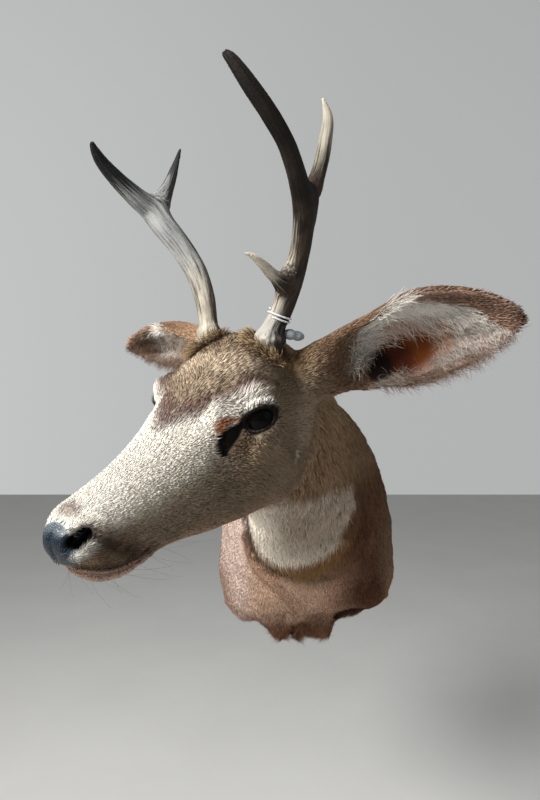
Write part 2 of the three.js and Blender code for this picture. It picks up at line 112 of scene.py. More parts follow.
ANTLERS = {  # points in the head's frame, each with its radius
    "left": {
        "beam": [[-47, 32, 50, 11.5], [-48, 34, 61, 13], [-51, 36, 69, 10], [-56, 41, 82, 9.5],
                 [-59, 53, 108, 9.4],
                 [-58, 62, 130, 8.6], [-50, 72, 149, 8.6], [-41, 80, 165, 9.8], [-30, 86, 177, 8.6]],
        "brow_tine": [[-54, 53, 104, 7], [-36, 53, 111, 5.6], [-19, 54, 120, 4.4], [-6, 54, 127, 3],
                      [5, 52, 131, 1]],
        "front_tine": [[-34, 84, 172, 8.4], [-19, 88, 183, 7.4], [-2, 91, 202, 6.6], [14, 89, 219, 6.4],
                       [26, 82, 237, 5.8], [34, 75, 252, 4.4], [37, 70, 258, 2.4]],
        "rear_tine": [[-44, 83, 170, 7.8], [-51, 89, 192, 6.2], [-53, 94, 212, 5.2], [-52, 98, 229, 4],
                      [-45, 98, 242, 1.2]],
    },
    "right": {
        "beam": [[-45, -32, 54, 10], [-47, -34, 66, 12], [-50, -37, 75, 9], [-54, -43, 100, 9.6],
                 [-54, -51, 125, 10.4],
                 [-45, -61, 150, 10.6], [-36, -69, 167, 11.3], [-29, -77, 183, 11], [-20, -80, 189, 8.6]],
        "front_tine": [[-31, -76, 182, 10.6], [-14, -80, 193, 9], [5, -82, 207, 7], [19, -82, 218, 5.4],
                       [27, -80, 226, 3.6], [31, -78, 232, 1.6]],
        "rear_tine": [[-35, -76, 182, 9.8], [-50, -80, 198, 8], [-61, -83, 209, 5.9], [-74, -86, 226, 4],
                      [-88, -88, 248, 1.2]],
    },
}
ANTLER_TONES = {  # share of a stem's length, darkness
    "left": {"beam": [[0, 0.72], [0.35, 0.85], [0.55, 1.1], [0.7, 1.5], [1, 1.9]],
             "brow_tine": [[0, 0.95], [0.15, 0.85], [0.6, 0.0], [1, -0.1]],
             "rear_tine": [[0, 0.95], [0.3, 0.6], [0.8, 0.15], [1, 0.15]]},
    "right": {"beam": [[0, 0.42], [0.7, 0.3], [0.85, 0.75], [0.94, 1.2], [1, 1.4]],
              "rear_tine": [[0, 0.34], [0.5, 0.6], [0.8, 1.1], [1, 1.3]]},
}
# How worn a tine's tip is, and from which share of its length.
WORN_TIPS = {("left", "brow_tine"): (0.95, 0.3), ("left", "rear_tine"): (0.7, 0.7)}
FLESH = ("head", "lower_jaw", "nose_pad", "neck", "brisket", "ear_left", "ear_right")
MM = 0.001  # one millimetre in metres
SQUARE_METRE = 1e6  # in square millimetres
MOST_TRIANGLES = 190000  # in one piece of hair
PATCH_SIZE = 0.003  # of a tuft's own place in the map OFBake
HAIR_TO_WALL = -0.2  # mm: no hair comes nearer to the wall


# ---- small tools for arrays ---------------------------------------------------------------------
def profile(points):
    """A smooth curve through (place, value) pairs."""
    xs, ys = np.array(points, float).T
    before, after = np.maximum(np.arange(len(xs)) - 1, 0), np.minimum(np.arange(len(xs)) + 1, len(xs) - 1)
    slope = (ys[after] - ys[before]) / (xs[after] - xs[before])

    def at(place):
        x = np.clip(place, xs[0], xs[-1])
        i = np.clip(np.searchsorted(xs, x) - 1, 0, len(xs) - 2)
        span = xs[i + 1] - xs[i]
        t = (x - xs[i]) / span
        keep = (1 + 2 * t) * (1 - t) ** 2
        bend = t * (1 - t) ** 2 * slope[i] + t**2 * (t - 1) * slope[i + 1]
        return keep * ys[i] + (1 - keep) * ys[i + 1] + bend * span

    return at


def step(x, start, end):
    """0 before start, 1 after end, smooth between; start may be the larger."""
    t = np.clip((np.asarray(x, float) - start) / (end - start), 0, 1)
    return t * t * (3 - 2 * t)


def unit(v):
    return v / np.maximum(np.linalg.norm(v, axis=-1, keepdims=True), 1e-9)


def blob(p, centre, radii, soft=0.45):
    """1 inside an ellipsoid, 0 outside, soft at its edge."""
    d = np.linalg.norm((p - np.array(centre, float)) / np.array(radii, float), axis=1)
    return step(d, 1 + soft, 1 - soft)


def path_distance(p, path):
    """Distance of every point from a polyline, and how far along it, from 0 to 1."""
    path = np.array(path, float)
    best, along = np.full(len(p), 1e9), np.zeros(len(p))
    for i in range(len(path) - 1):
        leg = path[i + 1] - path[i]
        t = np.clip(((p - path[i]) @ leg) / (leg @ leg), 0, 1)
        d = np.linalg.norm(p - path[i] - t[:, None] * leg, axis=1)
        nearer = d < best
        best[nearer], along[nearer] = d[nearer], (i + t[nearer]) / (len(path) - 1)
    return best, along


def wander(p, size, seed=0.0):
    """Smooth noise vectors of about -1 to 1 at every point, of the given grain size."""
    shift = Vector((seed * 7.1, seed * 3.7, seed * 5.3))
    return np.array([noise.noise_vector(Vector(q) / size + shift) for q in p])


def turned(axis, degrees):
    return np.array(Matrix.Rotation(math.radians(degrees), 3, axis))


HEAD_AXES = turned("Z", -90 - HEAD_TURN) @ turned("Y", HEAD_DROP) @ turned("X", -HEAD_LEAN)


def to_head(p):
    return (p - HEAD_AT) @ HEAD_AXES


def from_head(p):
    return p @ HEAD_AXES.T + HEAD_AT


def srgb(red, green, blue):
    c = np.array([red, green, blue], float) / 255
    return np.where(c <= 0.04045, c / 12.92, ((c + 0.055) / 1.055) ** 2.4)


# ---- forms under the hide -----------------------------------------------------------------------
def oval(angle, half, above, below, square_top, square_under):
    across, up = np.cos(angle), np.sin(angle)
    power = 2 / np.where(up >= 0, square_top, square_under)
    height = np.where(up >= 0, above, below)
    return half * np.sign(across) * np.abs(across) ** power, height * np.sign(up) * np.abs(up) ** power


def swell(ring, middle, swellings, both_sides):
    out, rise = unit(ring - middle), np.zeros(ring.shape[:-1])
    for at, reach, height in swellings:
        for sign in (1, -1) if both_sides else (1,):
            away = np.linalg.norm(ring - np.array([at[0], at[1] * sign, at[2]], float), axis=-1) / reach
            rise += height * np.exp(-away * away)
    return ring + out * rise[..., None]


def head_rings(depth, steps=110, sides=96):
    """Sections of the head, this far under the tips of its coat, in the mount's frame."""
    even = np.arange(steps + 1) / steps
    x = (HEAD_BACK + (NOSE_TIP - HEAD_BACK) * (0.55 * even + 0.45 * np.sin(even * np.pi / 2)))[:, None]
    x = np.minimum(x, NOSE_TIP - depth * 0.4)
    angle = (np.arange(sides) / sides * 2 * np.pi)[None, :]
    top, under, half, widest = (profile(t)(x) for t in (HEAD_TOP, HEAD_UNDER, HEAD_HALF, HEAD_WIDEST))
    y, z = oval(angle, half - depth, top - widest - depth, widest - under - depth, profile(SQUARE_TOP)(x),
                profile(SQUARE_UNDER)(x))
    ring = np.stack(np.broadcast_arrays(x, y, widest + z), -1)
    ring = swell(ring, np.stack(np.broadcast_arrays(x, 0 * x, widest), -1), HEAD_SWELLINGS, True)
    last = ring[-1]
    for bulge, share in ((0.9, 0.82), (1.8, 0.55), (2.2, 0.25)):
        cap = last * share + np.array([0, 0, -51.0]) * (1 - share)
        cap[:, 0] = NOSE_TIP - depth * 0.4 + bulge
        ring = np.concatenate([ring, cap[None]])
    return from_head(ring)


def neck_rings(depth, steps=90, sides=110):
    y = (-400 * (np.arange(steps + 1) / steps) ** 1.15)[:, None]
    angle = (np.arange(sides) / sides * 2 * np.pi)[None, :]
    middle, crest, under, half, widest = (profile(t)(y) for t in (NECK_MIDDLE, NECK_CREST, NECK_UNDER,
                                                                  NECK_HALF, NECK_WIDEST))
    x, z = oval(angle, half - depth, crest - widest - depth, widest - under - depth, 2.0, 2.5)
    ring = np.stack(np.broadcast_arrays(middle + x, y, widest + z), -1)
    return swell(ring, np.stack(np.broadcast_arrays(middle, y, widest), -1), NECK_SWELLINGS, False)


def ear_axes(ear):
    """Root, length and the along, face and across directions of an ear, in the head's frame."""
    root, tip, side = np.array(ear["root"], float), np.array(ear["tip"], float), ear["side"]
    length = np.linalg.norm(tip - root)
    along = (tip - root) / length
    face = np.array([1, 0.3 * side, 0])
    face = unit(face - (face @ along) * along)
    face = np.array(Matrix.Rotation(math.radians(ear["roll"]), 3, Vector(along)) @ Vector(face))
    return root, length, along, face, np.cross(face, along) * side


def ear_rings(ear, steps=70, sides=30):
    root, length, along, face, across = ear_axes(ear)
    t = (np.arange(steps + 1) / steps)[:, None]
    width = profile(EAR_HALF)(t) * ear["breadth"] - 2.2
    deep, hollow = profile(EAR_DEEP)(t) - 1.2, profile(EAR_HOLLOW)(t)
    wall = np.minimum(4.2, width * 0.34)
    s = ((np.arange(sides + 1) / sides) * 2 - 1)[None, :] * np.pi / 2
    back = np.stack([np.sin(s) * width, -np.maximum(np.cos(s), 0) ** 0.8 * deep], -1)
    inner = np.stack([-np.sin(s) * (width - wall), 1.2 - np.maximum(np.cos(s), 0) ** 0.8 * (hollow - 0.8)],
                     -1)
    flat = np.concatenate([back, inner], 1)
    flat[..., 0] -= ear["trim"] * np.exp(-(((t - 0.36) / 0.19) ** 2)) * np.maximum(flat[..., 0] / width, 0)
    spine = root + along * length * t[..., None] - face * EAR_BOW * np.sin(np.pi * t)[..., None]
    return from_head(spine + flat[..., :1] * across + flat[..., 1:] * face)


def loft(rings):
    """Points and faces of a closed skin over rings, each end closed by a fan."""
    count, sides = rings.shape[:2]
    points = np.concatenate([rings.reshape(-1, 3), rings[0].mean(0)[None], rings[-1].mean(0)[None]])
    i = np.arange(sides)
    j = (i + 1) % sides
    faces = []
    for k in range(count - 1):
        a = k * sides
        faces += np.stack([a + i, a + j, a + sides + j, a + sides + i], 1).tolist()
    first, end = count * sides, (count - 1) * sides
    faces += np.stack([j, i, np.full(sides, first)], 1).tolist()
    faces += np.stack([end + i, end + j, np.full(sides, first + 1)], 1).tolist()
    return points, faces


# ---- meshes -------------------------------------------------------------------------------------
def new_object(name, points, faces, material=None):
    """A piece from points in millimetres, with its faces turned outwards."""
    mesh = bpy.data.meshes.new(name)
    mesh.from_pydata((np.asarray(points) * MM).tolist(), [], faces)
    work = bmesh.new()
    work.from_mesh(mesh)
    bmesh.ops.recalc_face_normals(work, faces=work.faces)
    work.to_mesh(mesh)
    work.free()
    piece = bpy.data.objects.new(name, mesh)
    bpy.context.scene.collection.objects.link(piece)
    if material:
        mesh.materials.append(material)
    mesh.shade_smooth()
    return piece


def joined(parts):
    """Several (points, faces) shells as one list of each."""
    points, faces, start = [], [], 0
    for p, f in parts:
        points.append(p)
        faces += [[v + start for v in face] for face in f]
        start += len(p)
    return np.concatenate(points), faces


def settled(piece):
    """The piece with its modifiers worked into a plain mesh."""
    graph = bpy.context.evaluated_depsgraph_get()
    mesh = bpy.data.meshes.new_from_object(piece.evaluated_get(graph), preserve_all_data_layers=True,
                                           depsgraph=graph)
    old, piece.data = piece.data, mesh
    piece.modifiers.clear()
    bpy.data.meshes.remove(old)
    mesh.name = piece.name
    return piece


def remeshed(piece, size):
    modifier = piece.modifiers.new("one skin", "REMESH")
    modifier.mode, modifier.voxel_size, modifier.use_smooth_shade = "VOXEL", size * MM, True
    return settled(piece)


def points_of(mesh):
    flat = np.zeros(len(mesh.vertices) * 3, np.float32)
    mesh.vertices.foreach_get("co", flat)
    return flat.reshape(-1, 3).astype(float) / MM


def set_points(mesh, points):
    mesh.vertices.foreach_set("co", (points * MM).astype(np.float32).ravel())
    mesh.update()


def normals_of(mesh):
    flat = np.zeros(len(mesh.vertices) * 3, np.float32)
    mesh.vertex_normals.foreach_get("vector", flat)
    return flat.reshape(-1, 3).astype(float)


def relaxed(mesh, points, amount, times):
    """Points drawn towards the mean of their neighbours, by an amount of 0 to 1 at each."""
    edges = np.zeros(len(mesh.edges) * 2, np.int32)
    mesh.edges.foreach_get("vertices", edges)
    a, b = edges.reshape(-1, 2).T
    count = np.maximum(np.bincount(a, minlength=len(points)) + np.bincount(b, minlength=len(points)), 1)
    for _ in range(times):
        total = np.zeros_like(points)
        for k in range(3):
            total[:,
                  k] = np.bincount(a, points[b, k], len(points)) + np.bincount(b, points[a, k], len(points))
        points = points + (total / count[:, None] - points) * amount[:, None]
    return points


def refined(mesh, chosen):
    """Splits every face with all its corners among the chosen points into four."""
    work = bmesh.new()
    work.from_mesh(mesh)
    work.verts.index_update()
    work.edges.index_update()
    faces = [f for f in work.faces if all(chosen[v.index] for v in f.verts)]
    split = {e.index for f in faces for e in f.edges}
    edges = [e for e in work.edges if e.index in split]
    bmesh.ops.subdivide_edges(work, edges=edges, cuts=1, use_grid_fill=True)
    bmesh.ops.triangulate(work, faces=[f for f in work.faces if len(f.verts) > 4])
    work.to_mesh(mesh)
    work.free()


def put(mesh, name, values, kind="FLOAT", domain="POINT"):
    """Stores an attribute."""
    field = {"FLOAT_VECTOR": "vector", "FLOAT_COLOR": "color"}.get(kind, "value")
    if name in mesh.attributes:
        mesh.attributes.remove(mesh.attributes[name])
    values = np.ascontiguousarray(values, np.int32 if kind == "INT" else np.float32)
    if kind == "FLOAT_COLOR":
        values = np.concatenate([values, np.ones((len(values), 1), np.float32)], 1)
    mesh.attributes.new(name, kind, domain).data.foreach_set(field, values.ravel())


# ---- graphs of nodes ----------------------------------------------------------------------------
class Wire:
    """An output socket that takes arithmetic, each operation adding a Math node."""

    def __init__(self, graph, node, socket):
        self.graph, self.node, self.socket = graph, node, socket

    def math(self, operation, *values):
        return self.graph.add("ShaderNodeMath", {"operation": operation}, dict(enumerate(values)))

    def __add__(self, other):
        return self.math("ADD", self, other)

    __radd__ = __add__

    def __sub__(self, other):
        return self.math("SUBTRACT", self, other)

    def __rsub__(self, other):
        return self.math("SUBTRACT", other, self)

    def __mul__(self, other):
        return self.math("MULTIPLY", self, other)

    __rmul__ = __mul__

    def __truediv__(self, other):
        return self.math("DIVIDE", self, other)

    def __pow__(self, other):
        return self.math("POWER", self, other)

    def __gt__(self, other):
        return self.math("GREATER_THAN", self, other)

    def between(self, low, high):
        """0 up to low, 1 from high, smooth between."""
        values = {"Value": self, "From Min": low, "From Max": high}
        return self.graph.add("ShaderNodeMapRange", {"interpolation_type": "SMOOTHSTEP"}, values)


class Graph:
    """Adds nodes to a tree: a type, its settings, and the values or wires of its sockets."""

    def __init__(self, tree):
        self.tree = tree
        tree.nodes.clear()

    def add(self, kind, settings=None, values=None, output=0):
        node = self.tree.nodes.new(kind)
        for name, value in (settings or {}).items():
            if name == "stops":
                ramp = node.color_ramp
                while len(ramp.elements) < len(value):
                    ramp.elements.new(0.5)
                for element, (place, colour) in zip(ramp.elements, value):
                    element.position, element.color = place, (*colour, 1)
            else:
                setattr(node, name, value)
        for key, value in (values or {}).items():
            if isinstance(value, Wire):
                self.tree.links.new(value.socket, node.inputs[key])
            else:
                node.inputs[key].default_value = value
        return Wire(self, node, None if output is None else node.outputs[output])

    def mix(self, factor, a, b, blend="MIX"):
        """A mix of two colours; a plain colour is a tuple of three."""
        a, b = ((*c, 1) if isinstance(c, (tuple, list, np.ndarray)) else c for c in (a, b))
        return self.add("ShaderNodeMix", {"data_type": "RGBA", "blend_type": blend},
                        {0: factor, 6: a, 7: b}, output=2)

    def scaled(self, vector, factors):
        return self.add("ShaderNodeMapping", None, {"Vector": vector, "Scale": factors})

    def noise(self, vector, scale, detail=3.0, rough=0.55):
        return self.add("ShaderNodeTexNoise", None,
                        {"Vector": vector, "Scale": scale, "Detail": detail, "Roughness": rough})

    def attribute(self, name, output="Fac"):
        return self.add("ShaderNodeAttribute", {"attribute_name": name}, output=output)

    def object_place(self):
        return self.add("ShaderNodeTexCoord", output="Object")

    def bump(self, height, strength, distance):
        return self.add("ShaderNodeBump", None,
                        {"Height": height, "Strength": strength, "Distance": distance})


def shaded(colour, share):
    """A colour made darker or lighter."""
    return tuple(min(c * share, 1.0) for c in colour)


def material(name, paint, *colours):
    """A material whose Principled shader takes the sockets that paint(graph, its colours) returns."""
    made = bpy.data.materials.new(name)
    made.use_nodes = True
    graph = Graph(made.node_tree)
    shader = graph.add("ShaderNodeBsdfPrincipled", None, paint(graph, *(tuple(colour) for colour in colours)))
    graph.add("ShaderNodeOutputMaterial", None, {"Surface": shader}, output=None)
    return made


# ---- finishes -----------------------------------------------------------------------------------
def hide_finish(g):
    """Short hair lying flat on the hide, and bare leather at the nose, lids and lips."""
    marking, bare = g.attribute("marking", "Color"), g.attribute("bare")
    place = g.object_place()
    combed = g.attribute("combed", "Vector")
    strands = g.noise(combed, 1.0, 4.0, 0.6)
    ticks = g.noise(combed, 2.3, 2.0, 0.5)
    shade = 0.3 + 0.7 * strands + 0.2 * ticks + 0.25 * g.noise(place, 60.0, 3.0)
    pale = g.add("ShaderNodeRGBToBW", None, {0: marking}).between(0.4, 0.85)
    coat = g.mix(1.0, marking, shade + (1.0 - shade) * 0.5 * pale, "MULTIPLY")
    pebbles = g.add("ShaderNodeTexVoronoi", {"feature": "DISTANCE_TO_EDGE"},
                    {"Vector": place, "Scale": 640.0})
    grain = g.noise(place, 420.0, 3.0)
    # painted highlight on each pebble of the nose leather and painted shade in the cracks between them
    pebble_highlight_and_shade = 0.5 + 1.1 * pebbles.between(0.02, 0.36)
    leather = g.mix(1.0, marking, pebble_highlight_and_shade, "MULTIPLY")
    leather = g.mix(g.attribute("pebbled"), marking, leather)
    furry = (1 - bare) * (strands * 0.8 + ticks * 0.35)
    height = furry + bare * (grain * 0.25 + g.attribute("pebbled") * pebbles.between(0.0, 0.35))
    return {
        "Base Color": g.mix(bare, coat, leather),
        "Roughness": 0.82 - bare * (0.36 + 0.12 * grain) - 0.2 * g.attribute("wet"),
        "Normal": g.bump(height, 1.0, 0.0012),
        "Specular IOR Level": 0.12 - 0.07 * bare + 0.12 * g.attribute("pebbled"),
        "Coat Weight": 0.3 * g.attribute("pebbled"),
        "Coat Roughness": 0.35,
    }


def coat_finish(g):
    """Hair: each tuft has its root's marking and a tone of its own, darker at the root: partly the hair's own
    darker base, partly painted shade between tufts.
    """
    marking, tone, along = g.attribute("marking", "Color"), g.attribute("tone"), g.attribute("along")
    place = g.object_place()
    fine = g.noise(place, 900.0, 1.0)
    patchy = 0.72 + 0.16 * fine + 0.4 * g.noise(place, 70.0, 3.0)
    # darker towards each tuft's root: the hair's darker base and painted shade in the gaps between tufts
    shade = (0.42 + 0.74 * along.between(0.0, 0.75)) * tone * patchy
    pale = g.add("ShaderNodeRGBToBW", None, {0: marking}).between(0.4, 0.85)
    shade = shade + (1.12 - shade) * 0.5 * pale
    return {
        "Base Color": g.mix(1.0, marking, shade, "MULTIPLY"),
        "Roughness": 0.72,
        "Specular IOR Level": 0.08,
    }


def dark_hair_finish(g):
    fine = g.noise(g.object_place(), 500.0, 2.0)
    return {
        "Base Color": g.mix(fine, (0.012, 0.009, 0.007), (0.05, 0.036, 0.026)),
        "Roughness": 0.5 + 0.15 * fine,
    }


def eye_finish(g, iris_colour):
    """Dark glass: a long pupil in a deep brown iris with fine streaks."""
    place = g.attribute("gaze", "Vector")
    parts = g.add("ShaderNodeSeparateXYZ", None, {0: place})
    across, up = parts, Wire(g, parts.node, parts.node.outputs[1])
    around = (across * across + up * up) ** 0.5
    pupil = ((across * across) / 0.22 + (up * up) / 0.05) ** 0.5
    streaks = g.noise(place, 9.0, 5.0, 0.7)
    iris = g.mix(streaks.between(0.35, 0.7), shaded(iris_colour, 0.4), iris_colour)
    iris = g.mix(pupil.between(0.85, 1.1), (0.001, 0.001, 0.0012), iris)
    return {
        "Base Color": g.mix(around.between(0.78, 0.86), iris, (0.0035, 0.0035, 0.004)),
        "Roughness": 0.03,
        "IOR": 1.4,
        "Specular IOR Level": 0.09,
    }


def antler_finish(g, pale_colour, brown_colour):
    """Grooved antler: pale ridges over brown, darker where the tone attribute says (its own darkness and
    painted shade), polished tips.
    """
    grain, place = g.attribute("grain", "Vector"), g.object_place()
    tone, worn, cool = g.attribute("tone"), g.attribute("worn"), g.attribute("cool")
    grooves = g.noise(grain, 0.8, 4.0, 0.55)
    lines = g.noise(g.scaled(grain, (2.4, 2.4, 0.6)), 1.0, 3.0, 0.6)
    blotches = g.noise(place, 55.0, 3.0)
    pale = g.mix(blotches.between(0.3, 0.7), pale_colour, shaded(pale_colour, 0.62))
    brown = g.mix(blotches.between(0.35, 0.65), brown_colour, shaded(brown_colour, 0.3))
    pale = g.mix(cool, pale, srgb(158, 162, 165))
    brown = g.mix(cool, brown, srgb(40, 42, 45))
    depth = (tone * 1.15 + (0.5 - grooves) * 1.3 + (0.5 - lines) * 0.8).between(0.18, 0.85)
    colour = g.mix(depth, pale, brown)
    # near black where the tone is highest: the dark tips, and painted shade on the side away from the light
    colour = g.mix(tone.between(0.95, 1.7) * 0.85, colour, (0.006, 0.0045, 0.0035))
    colour = g.mix(worn, colour, shaded(pale_colour, 1.55))
    return {
        "Base Color": colour,
        "Roughness": 0.62 - 0.22 * worn - 0.12 * grooves.between(0.5, 0.7),
        "Normal": g.bump(grooves * 0.8 + lines * 0.5, 0.85, 0.0011),
        "Specular IOR Level": 0.15,
    }


def board_finish(g, wood_colour):
    """Sawn plywood: thin plies at the edge, long grain on the faces."""
    place = g.object_place()
    parts = g.add("ShaderNodeSeparateXYZ", None, {0: place})
    deep = Wire(g, parts.node, parts.node.outputs[1])
    plies = (deep * 1000 / 2.6).math("PINGPONG", deep * 1000 / 2.6, 1.0)
    grain = g.noise(g.scaled(place, (14.0, 60.0, 160.0)), 1.0, 5.0, 0.6)
    wood = g.mix(grain.between(0.3, 0.7), wood_colour, shaded(wood_colour, 0.5))
    return {
        "Base Color": g.mix(plies.between(0.35, 0.65) * 0.45, wood, shaded(wood_colour, 0.26)),
        "Roughness": 0.7 + 0.15 * grain,
        "Normal": g.bump(grain, 0.5, 0.0006),
    }


def cord_finish(g, cord_colour):
    """White twisted cord, with painted shade in the grooves between its plies."""
    lay = g.attribute("lay")
    ply = (lay * 2 * math.pi).math("SINE", lay * 2 * math.pi)
    fibre = g.noise(g.object_place(), 2600.0, 3.0)
    # darker along the grooves between the plies: painted shade
    return {
        "Base Color": g.mix(ply.between(-0.9, 0.4) * 0.6 + 0.4 * fibre, shaded(cord_colour, 0.45),
                            cord_colour),
        "Roughness": 0.55,
        "Normal": g.bump(ply * 0.5 + fibre * 0.3, 0.8, 0.0003),
    }


def tag_finish(g, tag_colour):
    """Grey moulded plastic, scuffed and a little dusty."""
    place = g.object_place()
    scuffs = g.noise(g.scaled(place, (300.0, 900.0, 300.0)), 1.0, 4.0, 0.7)
    dust = g.noise(place, 240.0, 3.0)
    return {
        "Base Color": g.mix(scuffs.between(0.45, 0.75) * 0.5 + 0.3 * dust, tag_colour,
                            shaded(tag_colour, 2.05)),
        "Roughness": 0.34 + 0.25 * scuffs,
        "Normal": g.bump(scuffs, 0.25, 0.0003),
    }


def floor_finish(g, floor_colour):
    speckle = g.noise(g.object_place(), 3.0, 4.0)
    return {
        "Base Color": g.mix(speckle.between(0.2, 0.8), floor_colour, shaded(floor_colour, 1.06)),
        "Roughness": 0.8 + 0.1 * speckle,
    }


# ---- the head's features ------------------------------------------------------------------------
GAZE_TURN, GAZE_LIFT, LID_TILT = 35.0, 6.0, 20.0  # degrees: forward of sideways, up, front corner down
TEAR_PIT = [(13, 55, 2), (23, 50.5, 1.5), (31, 46.8, -2), (36, 44.6, -7.5), (38, 44.3, -12.5),
            (38, 44.5, -16)]
RUST = [(25, 48, 7), (31, 43.5, 5.5), (36, 38.8, 4), (39.5, 39.5, -2)]
NOSTRIL = [(161.2, 16.6, -52.2), (159.6, 19.0, -50.0), (157.6, 21.0, -47.3), (155.6, 22.6, -45.2)]
BROW_FOLD = [(30, 34, 17), (16, 45, 27), (-2, 53, 31), (-20, 59, 24)]
BAND = [(58, 0, 8), (46, 10, 13), (34, 25, 17), (24, 38, 21), (8, 49, 30)]
LIP_PATCH = [(150, 28, -52), (144, 30, -57), (136, 30.5, -63), (124, 30, -71)]
WING_STREAK = [(161, 15, -62), (157, 21, -58.5), (153, 25.5, -54.5)]
# Where along each ear its opening starts, by the share across.
EAR_LIP = [[-1.1, 0.22], [-0.7, 0.26], [0, 0.33], [0.4, 0.39], [0.7, 0.5], [1.1, 0.62]]
# Folds of the hem and creases of the throat, in dots of the stage camera's picture.
HEM_LEFT = [(228, 604), (240, 614), (256, 617), (268, 624), (276, 640)]
HEM_MIDDLE = [(292, 625), (286, 634), (292, 645)]
HEM_NOTCH = [(322, 640), (328, 630), (336, 618), (352, 613), (368, 610), (384, 600)]
ROLL = [(245, 536), (249, 550), (256, 567), (272, 583), (288, 598), (302, 612)]
CREASE_PATH = [(243, 516), (243.5, 524), (247, 536), (252, 550), (260, 563), (272, 574), (290, 581)]
WRINKLE = [(244, 541), (250, 566), (266, 585), (284, 600), (296, 612)]
HEM_PUSHES = [  # how far, round where, over what reach
    ((-7, 0, -15), (-104, -50, -140), (34, 80, 36)),
    ((0, 0, -5), (-14, -60, -186), (54, 70, 30)),
    ((0, 0, 6), (48, -90, -165), (18, 80, 30)),
    ((4, 0, -9), (20, -60, -172), (22, 70, 26)),
    ((-3, 0, -9), (-50, -60, -168), (24, 70, 26)),
    ((5, 0, -8), (96, -70, -118), (26, 70, 26)),
]


# The stage's camera: its place, how far it looks up, and its picture in units of one picture dot.
CAMERA_AT = np.array([-59, -950, 145.0])
CAMERA_LIFT = 2.0  # degrees
PICTURE_WIDE, PICTURE_TALL, FOCAL_LENGTH = 540, 800, 575
SENSOR = 36


def eye_axes():
    """Outward, front-corner and upward directions of the left eye's opening, in the head's frame."""
    turn, lift, tilt = (math.radians(a) for a in (GAZE_TURN, GAZE_LIFT, LID_TILT))
    out = np.array([math.sin(turn) * math.cos(lift), math.cos(turn) * math.cos(lift), math.sin(lift)])
    front = np.array([math.cos(turn), -math.sin(turn), 0])
    up = np.cross(front, out)
    up = up if up[2] > 0 else -up
    return out, front * math.cos(tilt) - up * math.sin(tilt), up * math.cos(tilt) + front * math.sin(tilt)


def lids(q):
    """For points on the deer's left, in the head's frame: distance in mm outside the lid's edge
    (negative over the glass), height above the eye's long axis in degrees, and direction from the eye."""
    out, front, up = eye_axes()
    away = q - EYE_AT
    u = unit(away)
    a = np.degrees(np.arctan2(u @ front, u @ out)) - 9
    b = np.degrees(np.arcsin(np.clip(u @ up, -1, 1)))
    tall = np.where(b > 0, 27, 25)
    rim = np.sqrt(np.abs(a / np.where(a > 0, 50, 42)) ** 2.2 + np.abs(b / tall) ** 2)
    return (rim - 1) * 9.5, b, u


def drawn_at(points):
    """Where the stage's camera draws points, across and down in picture units."""
    tilt = math.radians(CAMERA_LIFT)
    away = points - CAMERA_AT
    deep = away[:, 1] * math.cos(tilt) + away[:, 2] * math.sin(tilt)
    up = away[:, 2] * math.cos(tilt) - away[:, 1] * math.sin(tilt)
    across = PICTURE_WIDE / 2 + FOCAL_LENGTH * away[:, 0] / deep
    down = PICTURE_TALL / 2 - FOCAL_LENGTH * up / deep
    return np.stack([across, down], 1)


class Places:
    """Where each point of the hide lies: head frame, ear frames and the weights of the regions."""

    def __init__(self, points, normals):
        self.p, self.n = points, normals
        self.h, self.hn = to_head(points), normals @ HEAD_AXES
        self.x, self.z = self.h[:, 0], self.h[:, 2]
        self.q = np.stack([self.x, np.abs(self.h[:, 1]), self.z], 1)
        self.near, self.lift, self.ray = lids(self.q)
        out, front, _ = eye_axes()
        self.side_angle = np.degrees(np.arctan2(self.ray @ front, self.ray @ out))
        self.to_eye = np.linalg.norm(self.q - EYE_AT, axis=1)
        self.ears = {name: self.ear_place(ear) for name, ear in EARS.items()}
        self.ear = np.maximum(*(e["weight"] for e in self.ears.values()))
        self.neck = (1 - self.ear) * step(self.h @ THROAT_AXIS, THROAT_AT + 10, THROAT_AT - 10)
        self.head = (1 - self.ear) * (1 - self.neck)
        drawn = drawn_at(points + normals * 4)
        seen = -np.sum(normals * unit(points - CAMERA_AT), 1)
        self.toward = step(points @ np.array([0, -1, -0.5]), 60, 90) * step(seen, -0.2, 0.02) * self.neck
        self.seam = path_distance(drawn, CREASE_PATH)[0] * 1.25 + 30 * (1 - self.toward)
        self.wrinkle = path_distance(drawn, WRINKLE)[0] * 1.35 + 30 * (1 - self.toward)
        folds = [path_distance(drawn, fold)[0] for fold in (HEM_LEFT, HEM_MIDDLE, HEM_NOTCH)]
        self.folds = np.minimum.reduce(folds) * 1.5
        self.roll = path_distance(drawn, ROLL)[0] * 1.5

    def turned_to(self, normals):
        """Takes new normals after the hide was worked, and keeps the places from before."""
        self.n, self.hn = normals, normals @ HEAD_AXES

    def ear_place(self, ear):
        root, length, along, face, across = ear_axes(ear)
        away = self.h - root
        t = away @ along / length
        bowed = EAR_BOW * np.sin(np.pi * np.clip(t, 0, 1))
        width = profile(EAR_HALF)(t) * ear["breadth"]
        sideways, out = away @ across, away @ face + bowed
        spread = np.hypot(sideways, np.minimum(out + 4, 0))
        weight = step(t, 0.02, 0.14) * step(spread, width * 1.5 + 8, width * 1.2 + 4) * step(t, 1.15, 1.08)
        s = sideways / width
        past_lip = t - profile(EAR_LIP)(s)
        facing = step(self.hn @ face, 0.0, 0.35) * weight
        inner = facing * step(past_lip, -0.01, 0.02)
        return {"t": t, "s": s, "past_lip": past_lip, "facing": facing, "weight": weight, "inner": inner,
                "face": face, "along": along, "across": across}


def mirror_of(w):
    """Factors that take vectors between the deer's left and each point's own side."""
    ones = np.ones_like(w.x)
    return np.stack([ones, np.sign(w.h[:, 1]), ones], 1)


def bump_at(distance, breadth, power=2):
    """1 on a line or place, falling off over a breadth."""
    return np.exp(-((distance / breadth) ** power))


